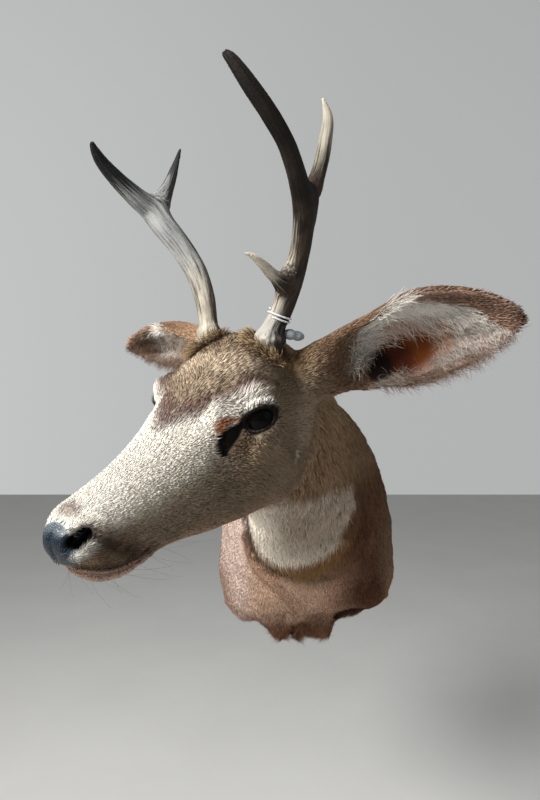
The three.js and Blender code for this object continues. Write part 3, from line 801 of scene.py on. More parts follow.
def sculpted(w):
    """Points of the hide with lids, tear pits, nostrils, mouth, folds and creases worked in."""
    mirror = mirror_of(w)
    q = w.q + lid_push(w)
    n = w.hn * mirror
    q -= n * (face_press(w, q) * w.head)[:, None]
    away, along = path_distance(q, NOSTRIL)
    sink = 9.0 * bump_at(away, 5.6 - 1.4 * along, 4) * w.head * step(q[:, 0], 138, 146)
    q += unit(np.array([-0.80, -0.55, 0.12])) * sink[:, None]
    away, _ = path_distance(q, WING_STREAK)
    swelling = 1.4 * bump_at(away, 3.5) + 2.6 * blob(q, (168, 0, -58), (14, 17, 17), 0.5)
    q += n * (swelling * w.head)[:, None]
    points = from_head(q * mirror)
    points -= w.n * neck_press(w)[:, None]
    for push, middle, reach in HEM_PUSHES:
        points += np.array(push) * (np.exp(-(((w.p - middle) / reach) ** 2).sum(1)) * w.neck)[:, None]
    lumps = wander(points, 34.0, 1)[:, 0] * (0.7 + 1.6 * w.neck)
    lumps += wander(points, 13.0, 2)[:, 0] * (0.25 + 0.3 * w.neck)
    points += w.n * (lumps * (1 - w.ear) * step(w.near, 2, 12) * step(w.p[:, 1], -2, -14))[:, None]
    for ear in w.ears.values():
        t, s, on, past = ear["t"], ear["s"], ear["weight"], ear["past_lip"]
        ridges = np.cos(s * 11 + 0.8) * 1.1 * step(t, 0.25, 0.5) * step(t, 0.95, 0.75) * ear["inner"]
        canal = 6 * ear_spot(t, s, 0.33, -0.55, 0.12, 0.45) * on * step(past, -0.06, 0.02)
        points += w.n * ridges[:, None] - (ear["face"] @ HEAD_AXES.T) * canal[:, None]
    return points


def lid_push(w):
    """How the lids' rims stand off the glass, and inside them the hide drops behind the eye."""
    e, r = w.near, w.to_eye
    facing = step(w.ray @ eye_axes()[0], -0.15, 0.15) * step(r, 44, 34) * (w.q[:, 1] > 20)
    upper = step(w.lift, -8, 8)
    lid = EYE_RADIUS + 0.9 + (1.5 + 1.2 * upper) * step(e, -0.2, 1.8)
    lid += 1.2 * upper * bump_at(e - 4.5, 2.2)
    lid = np.where(e < 0, EYE_RADIUS - 5 + 5.9 * step(e, -1.3, 0.1), lid)
    natural = step(e, 3.0, 11.0)
    target = lid * (1 - natural) + r * natural - 0.9 * bump_at(e - 7.5, 1.3) * upper
    return w.ray * ((target - r) * facing)[:, None]


def face_press(w, q):
    """How deep the tear pits, brow folds, mouth line and the nose's groove are pressed in."""
    away, along = path_distance(q, TEAR_PIT)
    press = 5.5 * bump_at(away, 2.6 + 2.6 * along, 4) * step(along, 0.0, 0.35) * step(w.near, 0.0, 2.0)
    away, _ = path_distance(q, BROW_FOLD)
    press += 1.3 * bump_at(away, 2.0) - 1.0 * bump_at(away - 4.5, 3.0)
    above = q[:, 2] - profile(MOUTH_LINE)(q[:, 0])
    press += 3.0 * bump_at(above, 1.5) * step(q[:, 0], 101, 108) * (w.head > 0.5)
    press -= 1.0 * bump_at(above - 5, 3.5) * step(q[:, 0], 104, 118) * (w.head > 0.5)
    return press + 1.6 * bump_at(q[:, 1], 1.6) * step(q[:, 0], 156, 162) * step(q[:, 2], -40, -50)


def neck_press(w):
    """How deep the neck's main crease and its folds are pressed in."""
    roll = w.toward * 6 * bump_at(w.roll, 7.5)
    folds = w.toward * (5.0 * bump_at(w.folds, 4) - 2.5 * bump_at(w.folds - 10, 6))
    return 6.5 * bump_at(w.seam, 3.4) * w.neck - roll + 1.6 * bump_at(w.wrinkle, 4) + folds


# ---- markings -----------------------------------------------------------------------------------
COATS = {  # colours laid over one another, as red, green and blue of 0 to 255
    "base": (150, 130,
             105), "cheek": (146, 128, 106), "back of cheek": (114, 96, 76), "temple": (182, 162, 138),
    "forehead": (160, 143, 123), "high forehead": (206, 188, 164), "muzzle": (214, 208, 195),
    "pale and lit muzzle top": (236, 232,
                   222), "muzzle side": (120, 98, 80), "jaw": (160, 134, 112), "chin": (196, 170, 152),
    "brow band": (114, 90, 82), "behind antler": (118, 96, 70), "crown": (110, 86, 62),
    "antler collar": (150, 120, 84), "antler foot": (58, 40, 26),
    "arch": (242, 238, 228), "under eye": (176, 160, 138), "rust": (164, 102, 62), "below pit": (112, 86, 66),
    "cheek fleck": (214, 208, 194), "black": (15, 11, 9), "lid": (34, 23, 18), "pit glint": (84, 74, 68),
    "lip patch": (112, 90, 72), "lip patch middle": (58, 43, 32), "nose bridge": (158, 140, 130),
    "nose": (17, 26, 34), "nose blue": (34, 53, 72), "nose top highlight": (150, 162, 168), "nostril rim": (38, 34, 32),
    "nostril wing": (196, 192,
                     184), "nostril": (5, 4, 4), "lower lip": (172, 142, 128), "mouth": (24, 17, 15),
    "upper lip": (70, 54, 40),
    "neck": (140, 114, 90), "crest": (150, 128, 98), "neck side": (108, 84, 62), "far chest": (224, 200, 188),
    "chest": (214, 180, 156), "chest left": (140, 98, 74), "gold": (150, 112, 70), "stripe": (84, 54, 36),
    "behind stripe": (124, 104, 84), "throat": (240, 230, 215), "jaw shadow on throat": (176, 160, 142),
    "low neck": (150, 108, 82), "hem": (108, 63, 38), "roll": (186, 150, 124), "wrinkle": (104, 72, 54),
    "seam": (40, 25, 17), "hem fold": (56, 32, 20), "wall edge": (112, 92, 70),
    "left ear back": (132, 106, 84), "right ear back": (150, 122, 98), "ear middle": (112, 86, 68),
    "ear lip": (168, 160, 148), "left ear skin": (176, 146, 132), "right ear skin": (224, 204, 190),
    "ear patches": (130, 76,
                    34), "ear orange": (150, 92, 38), "ear gold": (160, 92, 28), "ear cave": (104, 54, 20),
    "ear cave middle": (62, 24, 12), "ear canal": (20, 8, 6), "right ear orange": (150, 98, 56),
    "right ear rim": (164, 134, 110), "ear strip": (156, 126, 108), "ear low edge": (140, 130, 118),
    "ear tip": (66, 46, 36),
}


class Paint:
    """Colours at every point of the hide, laid one over another within a region."""

    def __init__(self, w):
        self.colour = np.tile(srgb(*COATS["base"]), (len(w.p), 1))
        self.region = 1.0
        self.speck = wander(w.p, 5.5, 4)[:, 0]
        self.cloud = wander(w.p, 26.0, 5)[:, 0]

    def lay(self, name, weight):
        share = np.clip(self.region * weight, 0, 1)[:, None]
        self.colour += (srgb(*COATS[name]) - self.colour) * share


def markings(w):
    """Colour of the coat and hide at every point, and how bare, pebbled and wet it is there."""
    paint = Paint(w)
    paint.region = w.head
    mark_head(paint, w)
    black, lid = mark_eyes(paint, w)
    nose, hole, lips = mark_nose_and_mouth(paint, w)
    paint.region = w.neck
    mark_neck(paint, w)
    for name, ear in w.ears.items():
        paint.region = 1.0
        mark_ear(paint, w, name, ear)
    bare = np.clip(np.maximum.reduce([black, nose, hole, lips]), 0, 1)
    wet = 0.25 * lid + 0.9 * hole + 0.35 * nose
    return {"marking": np.clip(paint.colour, 0.001, 1), "bare": bare, "pebbled": nose * (1 - hole),
            "wet": wet}


def mark_head(paint, w):
    """Grey-brown cheeks, pale upper muzzle, tan forehead with dark ticking, dark feet of the antlers."""
    q, x, z, lay, speck = w.q, w.x, w.z, paint.lay, paint.speck
    upward = w.hn[:, 2]
    lay("cheek", 1)
    lay("back of cheek", step(x, -5, -60) * step(z, 10, -30) * 0.7)
    lay("temple", blob(q, (-62, 54, -14), (26, 14, 22)) * 0.75)
    lay("forehead", step(z + x * 0.62, 14, 34) * (0.85 + 0.5 * speck))
    lay("high forehead", blob(q, (-5, 20, 44), (18, 20, 12)) * 0.85)
    pale = step(x + 0.6 * (z + 20), 22, 62) * step(z + 0.22 * (x - 60), -44 + 12 * paint.cloud, -26)
    pale = pale * (1 - step(z, 2, 14) * step(x + 1.1 * q[:, 1] + 5 * speck, 66, 52))
    lay("muzzle", pale)
    # lighter where the muzzle faces up: its paler hair, with painted light from above
    lay("pale and lit muzzle top", pale * step(upward, 0.3, 0.9) * 0.8)
    lay("muzzle side", step(x, 60, 100) * step(z + 0.12 * (x - 90) + 4 * speck, -46, -62) * 0.85)
    lay("jaw", step(upward, -0.35, -0.85) * step(z, -62, -74) * step(x, 118, 96))
    lay("chin", step(x, 100, 118) * step(upward, -0.2, -0.7) * step(z, -76, -82))
    away, _ = path_distance(q, BAND)
    lay("brow band", step(away + 4 * speck, 17, 3) * 0.9)
    lay("behind antler", blob(q, (-62, 44, 44), (24, 17, 22)) * 0.8)
    lay("crown", blob(q, (-36, 18, 50), (22, 20, 18)) * (0.5 + speck))
    away = np.linalg.norm((q - ANTLER_FOOT) * np.array([1, 1, 0.55]), axis=1)
    lay("antler collar", step(away + 4 * speck, 23, 16) * 0.8)
    lay("antler foot", step(away, 16, 13.5) * 0.8)


def mark_eyes(paint, w):
    """A white arch over the eye, a thin pale ring under it, rust before it, black lids and tear pit."""
    q, near, angle, lay, speck = w.q, w.near, w.side_angle, paint.lay, paint.speck
    outer_half = q[:, 1] > 25
    back = step(angle, 0, -60)
    arch = step(near, 1.5, 3.5) * step(near + 2 * speck + 7 * back, 15, 6) * step(w.lift, 0, 18)
    lay("arch", arch * outer_half)
    lay("under eye", step(near, 1, 3) * step(near, 7, 4) * step(w.lift, 0, -8) * outer_half * 0.5)
    rust, _ = path_distance(q, RUST)
    lay("rust", step(rust + 2 * speck, 5.8, 2.4) * (0.95 + 0.3 * speck))
    lay("below pit", blob(q, (26, 50, -20), (14, 9, 8)) * 0.7)
    lay("cheek fleck", blob(q, (-42, 58, -38), (2.6, 8, 6)) * 0.8)
    away, along = path_distance(q, TEAR_PIT)
    away = away + 1.3 * speck
    pit = w.head * step(away, 4.9 + 4.2 * along, 3.6 + 3.4 * along)
    corner = step(np.abs(w.lift), 26, 12) * (q[:, 1] > 20)
    reach = 3.0 + 5.0 * step(angle, 24, 48) + 8.5 * corner * step(angle, -16, -42) + 0.8 * speck
    lid = w.head * step(near, reach, 1.6) * (w.to_eye < 36)
    black = np.maximum(pit, lid)
    paint.region = 1.0
    lay("black", black)
    lay("lid", lid * step(near, 4, 7) * 0.6)
    paint.region = w.head
    lay("pit glint", blob(q, (39, 44, -18), (3, 8, 2)) * 0.5)
    return black, lid


def mark_nose_and_mouth(paint, w):
    """Nose leather, nostrils and lips."""
    q, x, lay, speck = w.q, w.x, paint.lay, paint.speck
    upward = w.hn[:, 2]
    patch, _ = path_distance(q, LIP_PATCH)
    lay("lip patch", step(patch + 3 * speck, 17, 6) * 0.75)
    lay("lip patch middle", step(patch + 3 * speck, 8.5, 2.0) * 0.8)
    streak, _ = path_distance(q, WING_STREAK)
    nose = w.head * blob(q, (166, 0, -57), (15, 19, 20), 0.08)
    lay("nose bridge", blob(q, (151, 1, -33), (7, 10, 5)) * 0.75)
    paint.region = 1.0
    lay("nose", nose)
    lay("nose blue", nose * (0.3 + 0.45 * step(upward, -0.2, 0.5)))
    # painted highlight on the top of the nose leather, where it faces up
    lay("nose top highlight", nose * step(upward, 0.3, 0.85) * 0.55)
    hole, _ = path_distance(q, NOSTRIL)
    rim = w.head * step(hole + 1.5 * speck, 10.5, 7) * step(x, 143, 149)
    hole = w.head * step(hole, 6.4, 5.2) * step(x, 142, 147)
    lay("nostril rim", rim * (1 - nose) * 0.85)
    lay("nostril wing", w.head * step(streak + speck, 5.6, 2.4) * (1 - hole) * (0.75 + 0.5 * speck))
    # near black in the nostril's sunken hollow: painted shade
    lay("nostril", hole)
    line = w.z - profile(MOUTH_LINE)(x)
    fore = w.head * step(x, 98, 106)
    lay("lower lip", fore * step(line, -6.5, -4.5) * step(line, -0.5, -2) * 0.85)
    lay("mouth", fore * step(np.abs(line), 2.4 + 2.6 * step(x, 124, 110), 1.0))
    lay("upper lip", fore * step(line, 1.2, 2.4) * step(line, 8, 4) * 0.7)
    return nose, hole, fore * step(np.abs(line), 3.0, 1.8)


def mark_neck(paint, w):
    """White throat, gold below it, pinkish chest, dark side stripe, rough brown hem."""
    px, py, pz = w.p.T
    lay, speck, cloud = paint.lay, paint.speck, paint.cloud
    lay("neck", 1)
    lay("crest", step(pz, 120, 200) * 0.7)
    lay("neck side", step(px, 6, 40) * step(pz, 60, 120) * 0.55)
    edge = -229 - (px + 84) * 0.5 + 7 * cloud
    lay("far chest", step(py, -232, -205) * step(px, -10, -88) * step(pz, 150, 60))
    lay("chest", step(py, -230, -190) * step(np.abs(px + 10), 95, 60) * step(pz, 40, -10))
    lay("chest left", step(px, -10, 45) * step(pz, 60, 10) * 0.7)
    gold = step(py, edge - 14, edge + 4) * step(py, edge + 52, edge + 20) * step(pz, 30, 0)
    lay("gold", gold * step(px, -92, -70) * 0.85)
    slant = px - 0.28 * (py + 200)
    stripe = step(px - 0.09 * py, 32, 80) * step(slant, 104, 76) * step(pz, 112, 60)
    lay("stripe", stripe * (0.85 + 0.3 * cloud))
    lay("behind stripe", step(slant, 66, 90) * step(py, -200, -160) * 0.8)
    white = step(py, edge + 9, edge - 12) * step(pz - 0.12 * (px + 30), 78, 58)
    white = white * step(px, 52, 36) * step(px, -112, -98)
    lay("throat", white)
    # painted shadow of the jaw over the upper throat
    lay("jaw shadow on throat", white * step(px, -75, -30) * step(pz, -40, 30) * 0.9)
    lay("low neck", step(py, -110, -50) * step(pz, -50, -110) * (0.7 + 0.3 * cloud))
    lay("hem", blob(w.p, (-12, -66, -165), (66, 66, 44), 0.7) * (0.8 + 0.5 * speck))
    paint.region = w.toward
    lay("roll", step(w.roll + 2 * speck, 11, 4) * 0.7)
    paint.region = w.neck
    # painted shade along the wrinkle under the roll
    lay("wrinkle", step(w.wrinkle + 2.5 * speck, 7, 1) * 0.55)
    # painted shade along the neck's crease
    lay("seam", step(w.seam + 1.5 * speck, 6.0, 2.0) * 0.95)
    paint.region = w.toward
    # painted shade in the folds of the hem
    lay("hem fold", step(w.folds + 2 * speck, 8, 2) * 0.9)
    paint.region = w.neck
    lay("wall edge", step(py, -24, -8) * 0.6)


def mark_ear(paint, w, name, ear):
    """Brown back and top strip, a canal darkened with painted shade, orange skin inside."""
    t, s, on, inner, past = ear["t"], ear["s"], ear["weight"], ear["inner"], ear["past_lip"]
    lay, speck, left = paint.lay, paint.speck, name == "left"
    lay(name + " ear back", on)
    lay("ear middle", on * step(t, 0.22, 0.5) * (0.75 + 0.5 * speck))
    lay("ear lip", ear["facing"] * step(past, -0.16, -0.05) * step(s, -0.5, -0.1) * 0.8)
    lay(name + " ear skin", inner)
    lay("ear patches", inner * step(np.abs(s + 0.15), 0.7, 0.3) * step(paint.cloud + speck, -0.1, 0.4) * 0.7)
    if left:
        within = np.maximum(inner, on * step(w.hn @ ear["face"], -0.7, -0.3) * step(past, 0, 0.02))
        lay("ear orange", inner * ear_spot(t, s, 0.65, -0.28, 0.15, 0.2) * 0.9)
        lay("ear gold", inner * ear_spot(t, s, 0.75, -0.86, 0.05, 0.13) * 0.9)
        lay("ear cave", within * ear_cave(t, s))
        # darker brown skin towards the canal, deepened with painted shade in the ear's hollow
        lay("ear cave middle", within * ear_spot(t, s, 0.41, -0.57, 0.1, 0.4) * 0.9)
        # painted shade in the ear's canal
        lay("ear canal", within * ear_spot(t, s, 0.325, -0.64, 0.075, 0.34))
    else:
        lay("right ear orange", inner * ear_spot(t, s, 0.44, -0.5, 0.14, 0.4))
        rims = [step(s, -0.5, -0.75), step(t, 0.68, 0.84), step(s, 0.62, 0.8)]
        lay("right ear rim", ear["facing"] * np.maximum.reduce(rims))
    strip = step(s - ear_strip(name, t), -0.08, 0.08)
    lay("ear strip", inner * strip * (0.9 + 0.4 * speck))
    # greyer lower edge of the left ear's inside: painted shade over its pale skin
    lay("ear low edge", inner * step(s, -0.8, -0.95) * left)
    lay("ear tip", on * step(t, 0.93, 1.0))


WISP_WHITE, WISP_TAN_AND_SHADE, COLLAR_GOLD = (240, 236, 228), (118, 98, 84), (140, 118, 90)


def ear_spot(t, s, along, across, long, wide):
    """1 in an oval of an ear's face, 0 outside it."""
    return step(np.hypot((t - along) / long, (s - across) / wide), 1.25, 0.6)


def ear_cave(t, s):
    """The dark hollow in the lower half of an ear's face, free of hair."""
    return np.maximum(ear_spot(t, s, 0.33, -0.62, 0.09, 0.36), ear_spot(t, s, 0.48, -0.48, 0.15, 0.38))


def ear_strip(name, t):
    """Where across the ear's face the brown strip of the top edge starts."""
    if name == "left":
        return profile([[0.2, 1.1], [0.4, 0.85], [0.52, 0.68], [0.68, 0.5], [0.8, 0.25], [0.88, -0.25],
                        [1, -1.0]])(t)
    return profile([[0.2, 0.9], [0.5, 0.8], [0.8, 0.62], [1, 0.1]])(t)


def lie(w):
    """Direction in which the coat lies at every point, along the hide, in the mount's frame."""
    x, z, side = w.x, w.z, np.sign(w.h[:, 1])
    back = np.stack([-np.ones_like(x), 0 * x, -0.05 + 0 * x], 1)
    back[:, 2] -= 0.75 * step(x, 60, -30) * step(z, 0, -50) * step(z, -110, -80)
    back[:, 2] += 0.25 * step(z, 5, 30)
    back[:, 1] += side * 0.55 * step(z, 0, 25) * step(x, 80, 10)
    from_eye, gaze = w.q - EYE_AT, eye_axes()[0]
    around = unit(from_eye - (from_eye @ gaze)[:, None] * gaze)
    around[:, 1] *= side
    near = step(w.to_eye, 40, 22) * 0.9
    head = back * (1 - near)[:, None] + (around * 0.7 + back * 0.5) * near[:, None]
    head = head @ HEAD_AXES.T
    px, py, pz = w.p.T
    neck = np.stack([0.10 + 0 * px, 0.62 + 0 * px, -0.75 + 0.35 * step(pz, 120, 200)], 1)
    neck[:, 0] += 0.1 * step(px, -60, -110) * step(py, -260, -200)
    flow = head * w.head[:, None] + unit(neck) * w.neck[:, None]
    for ear in w.ears.values():
        spread = ear["along"] * 0.9 + ear["across"] * (ear["s"] * 0.35)[:, None]
        flow += (spread @ HEAD_AXES.T) * ear["weight"][:, None]
    flow += wander(w.p, 17.0, 8) * 0.22
    flow -= w.n * np.sum(flow * w.n, 1)[:, None]
    return unit(flow)


def combed(w):
    """Coordinates for streaks that run with the coat: slow along it, quick across it."""
    head = w.h * np.array([0.11, 0.85, 0.85])
    tilted = np.stack([(w.p[:, 1] - w.p[:, 2]) * 0.09, w.p[:, 0] * 0.6, (w.p[:, 1] + w.p[:, 2]) * 0.6], 1)
    return head * w.head[:, None] + tilted * (1 - w.head)[:, None]


# ---- hair grown over the hide -------------------------------------------------------------------
def hair_tree():
    """Geometry Nodes that stand one blade on each of many points of a bed, along its coat."""
    tree = bpy.data.node_groups.new("hair over the hide", "GeometryNodeTree")
    sockets = (("Geometry", "Geometry"), ("Blade", "Object"), ("Patch", "Int"),
               ("Tufts per Square Metre", "Float"),
               ("Unruliness", "Float"), ("Clumping", "Float"), ("Ticking", "Float"), ("Seed", "Int"),
               ("Finish", "Material"))
    for name, kind in sockets:
        tree.interface.new_socket(name=name, in_out="INPUT", socket_type="NodeSocket" + kind)
    tree.interface.new_socket(name="Geometry", in_out="OUTPUT", socket_type="NodeSocketGeometry")
    g = Graph(tree)
    start = g.add("NodeGroupInput")

    def given(name):
        return Wire(g, start.node, start.node.outputs[name])

    def field(name, kind="FLOAT"):
        return g.add("GeometryNodeInputNamedAttribute", {"data_type": kind}, {"Name": name})

    def chance(low, high, offset):
        return g.add("FunctionNodeRandomValue", {"data_type": "FLOAT"},
                     {2: low, 3: high, "Seed": given("Seed") + offset}, output=1)

    def vector(operation, a, b):
        return g.add("ShaderNodeVectorMath", {"operation": operation},
                     {0: a, ("Scale" if operation == "SCALE" else 1): b})

    chosen = g.add("FunctionNodeCompare", {"data_type": "INT", "operation": "EQUAL"},
                   {2: field("patch", "INT"), 3: given("Patch")})
    rate = field("hair_rate") * given("Tufts per Square Metre")
    spread = g.add("GeometryNodeDistributePointsOnFaces", {"distribute_method": "RANDOM"},
                   {"Mesh": given("Geometry"), "Selection": chosen, "Density": rate, "Seed": given("Seed")})
    normal = Wire(g, spread.node, spread.node.outputs["Normal"])
    place = g.add("GeometryNodeInputPosition")
    jitter = g.add("FunctionNodeRandomValue", {"data_type": "FLOAT_VECTOR"},
                   {0: (-1, -1, -1), 1: (1, 1, 1), "Seed": given("Seed") + 11})
    clump = g.add("ShaderNodeTexNoise", {"noise_dimensions": "3D"},
                  {"Vector": place, "Scale": 130.0, "Detail": 1.0}, output="Color")
    clump = vector("SUBTRACT", clump, (0.5, 0.5, 0.5))
    lying = vector("ADD", field("lie", "FLOAT_VECTOR"), vector("SCALE", jitter, given("Unruliness")))
    lying = vector("ADD", lying, vector("SCALE", clump, given("Clumping")))
    turn = g.add("FunctionNodeAxesToRotation", {"primary_axis": "Z", "secondary_axis": "X"},
                 {"Primary Axis": normal, "Secondary Axis": lying})
    size = g.add("ShaderNodeCombineXYZ", None, {
        0: field("hair_long") * chance(0.65, 1.3, 1),
        1: field("hair_wide") * chance(0.7, 1.35, 2),
        2: field("hair_lift") * chance(0.5, 1.4, 3),
    })
    blade = g.add("GeometryNodeObjectInfo", {"transform_space": "ORIGINAL"}, {"Object": given("Blade")},
                  output="Geometry")
    tufts = g.add("GeometryNodeInstanceOnPoints", None,
                  {"Points": spread, "Instance": blade, "Rotation": turn, "Scale": size})
    dark = given("Ticking") > chance(0.0, 1.0, 5)
    tone = chance(0.74, 1.26, 4) * (1 - 0.42 * dark)
    tufts = g.add("GeometryNodeStoreNamedAttribute", {"data_type": "FLOAT", "domain": "INSTANCE"},
                  {"Geometry": tufts, "Name": "tone", "Value": tone})
    tufts = g.add("GeometryNodeRealizeInstances", None, {"Geometry": tufts})
    local = g.add("ShaderNodeCombineXYZ", None, {0: field("along") - 0.5, 1: field("across") - 0.5})
    print_place = vector("ADD", field("OFBake", "FLOAT_VECTOR"), vector("SCALE", local, PATCH_SIZE))
    tufts = g.add("GeometryNodeStoreNamedAttribute", {"data_type": "FLOAT2", "domain": "CORNER"},
                  {"Geometry": tufts, "Name": "OFBake", "Value": print_place})
    for spare in ("lie", "hair_rate", "hair_long", "hair_wide", "hair_lift", "across", "patch"):
        tufts = g.add("GeometryNodeRemoveAttribute", None, {"Geometry": tufts, "Name": spare})
    tufts = g.add("GeometryNodeSetMaterial", None, {"Geometry": tufts, "Material": given("Finish")})
    g.add("NodeGroupOutput", {}, {0: tufts}, output=None)
    return tree


def tuft_blade(name):
    """A lock of unit length, breadth and lift: narrow at its root, broad at a third, keeled, pointed."""
    points = [(0, 0, -0.25), (0.34, 0.5, 0.22), (0.34, -0.5, 0.22), (0.42, 0, 0.62), (1, 0, 0.72)]
    faces = [(0, 3, 1), (0, 2, 3), (1, 3, 4), (3, 2, 4), (0, 1, 2), (1, 4, 2)]
    return blade_object(name, points, faces)


def strand_blade(name, rings=3, curl=0.25, flat=0.12):
    """A long hair of three sides that bends over its length and ends in a point; curl is in breadths,
    and flat is its thickness as a share of its lift."""
    points, faces = [], []
    for k in range(rings):
        t = k / rings
        thick = 0.5 * (1 - 0.55 * t)
        for i in range(3):
            angle = i * 2 * math.pi / 3
            points.append((t, math.cos(angle) * thick + curl * math.sin(t * 4.2),
                           math.sin(angle) * thick * flat + t**0.8))
    tip = len(points)
    points.append((1, curl * math.sin(4.2), 0.86))
    faces.append((2, 1, 0))
    for k in range(rings - 1):
        for i in range(3):
            a, b = k * 3 + i, k * 3 + (i + 1) % 3
            faces += [(a, b, b + 3), (a, b + 3, a + 3)]
    faces += [(tip - 3 + i, tip - 3 + (i + 1) % 3, tip) for i in range(3)]
    return blade_object(name, points, faces)


def hair(rate, long, wide, lift, lie, **more):
    """What grow needs to know at every point: lengths in millimetres, and the direction it lies in."""
    return {"hair_rate": rate, "hair_long": long, "hair_wide": wide, "hair_lift": lift, "lie": lie, **more}


def blade_object(name, points, faces):
    blade = new_object(name, np.array(points) / MM, faces)
    put(blade.data, "along", [p[0] for p in points])
    put(blade.data, "across", [p[1] + 0.5 for p in points])
    blade.hide_render = True
    return blade


def grow(name, hide, blade, finish, per_square_metre, values, unruly=0.2, clump=0.6, ticking=0.0, seed=1):
    """Grows hair on the hide, in pieces small enough to be written whole, and gives them back."""
    bed = bpy.data.objects.new("bed", hide.data.copy())
    bpy.context.scene.collection.objects.link(bed)
    mesh = bed.data
    for key in ("hair_rate", "hair_long", "hair_wide", "hair_lift"):
        scale = 1 if key == "hair_rate" else MM
        put(mesh, key, np.broadcast_to(np.asarray(values[key], float), len(mesh.vertices)) * scale)
    put(mesh, "lie", values["lie"], "FLOAT_VECTOR")
    if "marking" in values:
        put(mesh, "marking", values["marking"], "FLOAT_COLOR")
    count = len(mesh.polygons)
    area, centre, total = np.zeros(count,
                                   np.float32), np.zeros(count * 3, np.float32), np.zeros(count, np.int32)
    mesh.polygons.foreach_get("area", area)
    mesh.polygons.foreach_get("center", centre)
    mesh.polygons.foreach_get("loop_total", total)
    corners = np.zeros(len(mesh.loops), np.int32)
    mesh.loops.foreach_get("vertex_index", corners)
    rate = np.broadcast_to(np.asarray(values["hair_rate"], float), len(mesh.vertices))
    rate = np.bincount(np.repeat(np.arange(count), total), rate[corners], count) / total
    expected = area * rate * per_square_metre
    pieces = max(1, math.ceil(expected.sum() * len(blade.data.polygons) / MOST_TRIANGLES))
    order = np.argsort(centre.reshape(-1, 3)[:, 1])
    patch = np.zeros(count, int)
    patch[order] = np.minimum(np.cumsum(expected[order]) / expected.sum() * pieces, pieces - 1).astype(int)
    put(mesh, "patch", patch, "INT", "FACE")
    tree = bpy.data.node_groups.get("hair over the hide") or hair_tree()
    socket = {item.name: item.identifier for item in tree.interface.items_tree if item.in_out == "INPUT"}
    inputs = {"Blade": blade, "Tufts per Square Metre": float(per_square_metre), "Unruliness": unruly,
              "Clumping": clump,
              "Ticking": ticking, "Seed": seed, "Finish": finish}
    made = []
    for k in range(pieces):
        tuft = bpy.data.objects.new(f"{name}_{k + 1}" if pieces > 1 else name, mesh)
        bpy.context.scene.collection.objects.link(tuft)
        modifier = tuft.modifiers.new("hair", "NODES")
        modifier.node_group = tree
        for key, value in inputs.items():
            modifier[socket[key]] = value
        modifier[socket["Patch"]] = k
        graph = bpy.context.evaluated_depsgraph_get()
        grown = bpy.data.meshes.new_from_object(tuft.evaluated_get(graph), preserve_all_data_layers=True,
                                                depsgraph=graph)
        tuft.modifiers.clear()
        tuft.data = grown
        grown.name = tuft.name
        points = points_of(grown)
        points[:, 1] = np.minimum(points[:, 1], HAIR_TO_WALL)
        set_points(grown, points)
        made.append(tuft)
    bpy.data.objects.remove(bed)
    bpy.data.objects.remove(blade)
    return made


# ---- pieces -------------------------------------------------------------------------------------
def hide_mesh(sizes):
    """One skin over head, jaw, nose, neck, brisket and ears, under the coat by its depth."""
    forms = [loft(head_rings(sizes.face_depth / MM)), loft(neck_rings(sizes.neck_depth / MM))]
    forms += [loft(ear_rings(ear)) for ear in EARS.values()]
    hide = new_object("hide", *joined(forms))
    remeshed(hide, sizes.hide_grain / MM)
    mesh = hide.data
    points = points_of(mesh)
    w = Places(points, normals_of(mesh))
    from_roots = [np.abs(e["t"] - 0.06) + np.maximum(e["s"] ** 2 - 1.6, 0) for e in w.ears.values()]
    root = np.minimum(*from_roots)
    crease = np.maximum(step(np.abs(w.h @ THROAT_AXIS - THROAT_AT), 34, 12), step(root, 0.2, 0.06))
    flat = w.p[:, 1] > -3
    points = relaxed(mesh, points, np.where(flat, 0, 0.45) * (1 - w.ear), 6)
    points = relaxed(mesh, points, np.where(flat, 0, 0.5) * crease, 22)
    set_points(mesh, points)
    for reach in (30, 25):
        points = points_of(mesh)
        w = Places(points, normals_of(mesh))
        line = np.abs(w.z - profile(MOUTH_LINE)(w.x))
        fine = (w.to_eye < reach) & (w.q[:, 1] > 22) & (w.near < 10)
        if reach == 30:
            fine |= (w.head > 0.5) & ((w.x > 136) | ((line < 5) & (w.x > 96)))
            fine |= path_distance(w.q, TEAR_PIT)[0] < 10
        refined(mesh, fine)
    points = points_of(mesh)
    w = Places(points, normals_of(mesh))
    set_points(mesh,
               relaxed(mesh, points, step(w.to_eye, 32, 28) * 0.5 + step(w.x, 132, 136) * 0.5 * w.head, 3))
    points = points_of(mesh)
    places = Places(points, normals_of(mesh))
    set_points(mesh, pocketed(sculpted(places), places.p))
    places.turned_to(normals_of(mesh))
    return hide, places


BOARD_FACE, BOARD_LAP = -18.6, 1.5  # the hide's back behind the board, and the width of its edge over it


def pocketed(points, before):
    """Sinks the hide's back behind the board's outline, so that the board lies in it."""
    board = points_of(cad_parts["backboard"].data)
    board = board[np.abs(board[:, 1]) < 0.5]
    turn = np.arctan2(board[:, 2], board[:, 0])
    order = np.argsort(turn)
    at = np.arctan2(points[:, 2], points[:, 0])
    edge = np.interp(at, turn[order], np.hypot(board[:, 0], board[:, 2])[order], period=2 * np.pi)
    out = np.hypot(points[:, 0], points[:, 2])
    cap = before[:, 1] > -1.2
    inside, on_edge = cap & (out < edge - BOARD_LAP), cap & (np.abs(out - edge) <= BOARD_LAP)
    points[inside, 1] = BOARD_FACE
    for k in (0, 2):
        points[on_edge, k] *= (edge / out)[on_edge] * 1.002
    points[cap & ~inside, 1] = 0
    points[:, 1] = np.minimum(points[:, 1], 0)
    return points


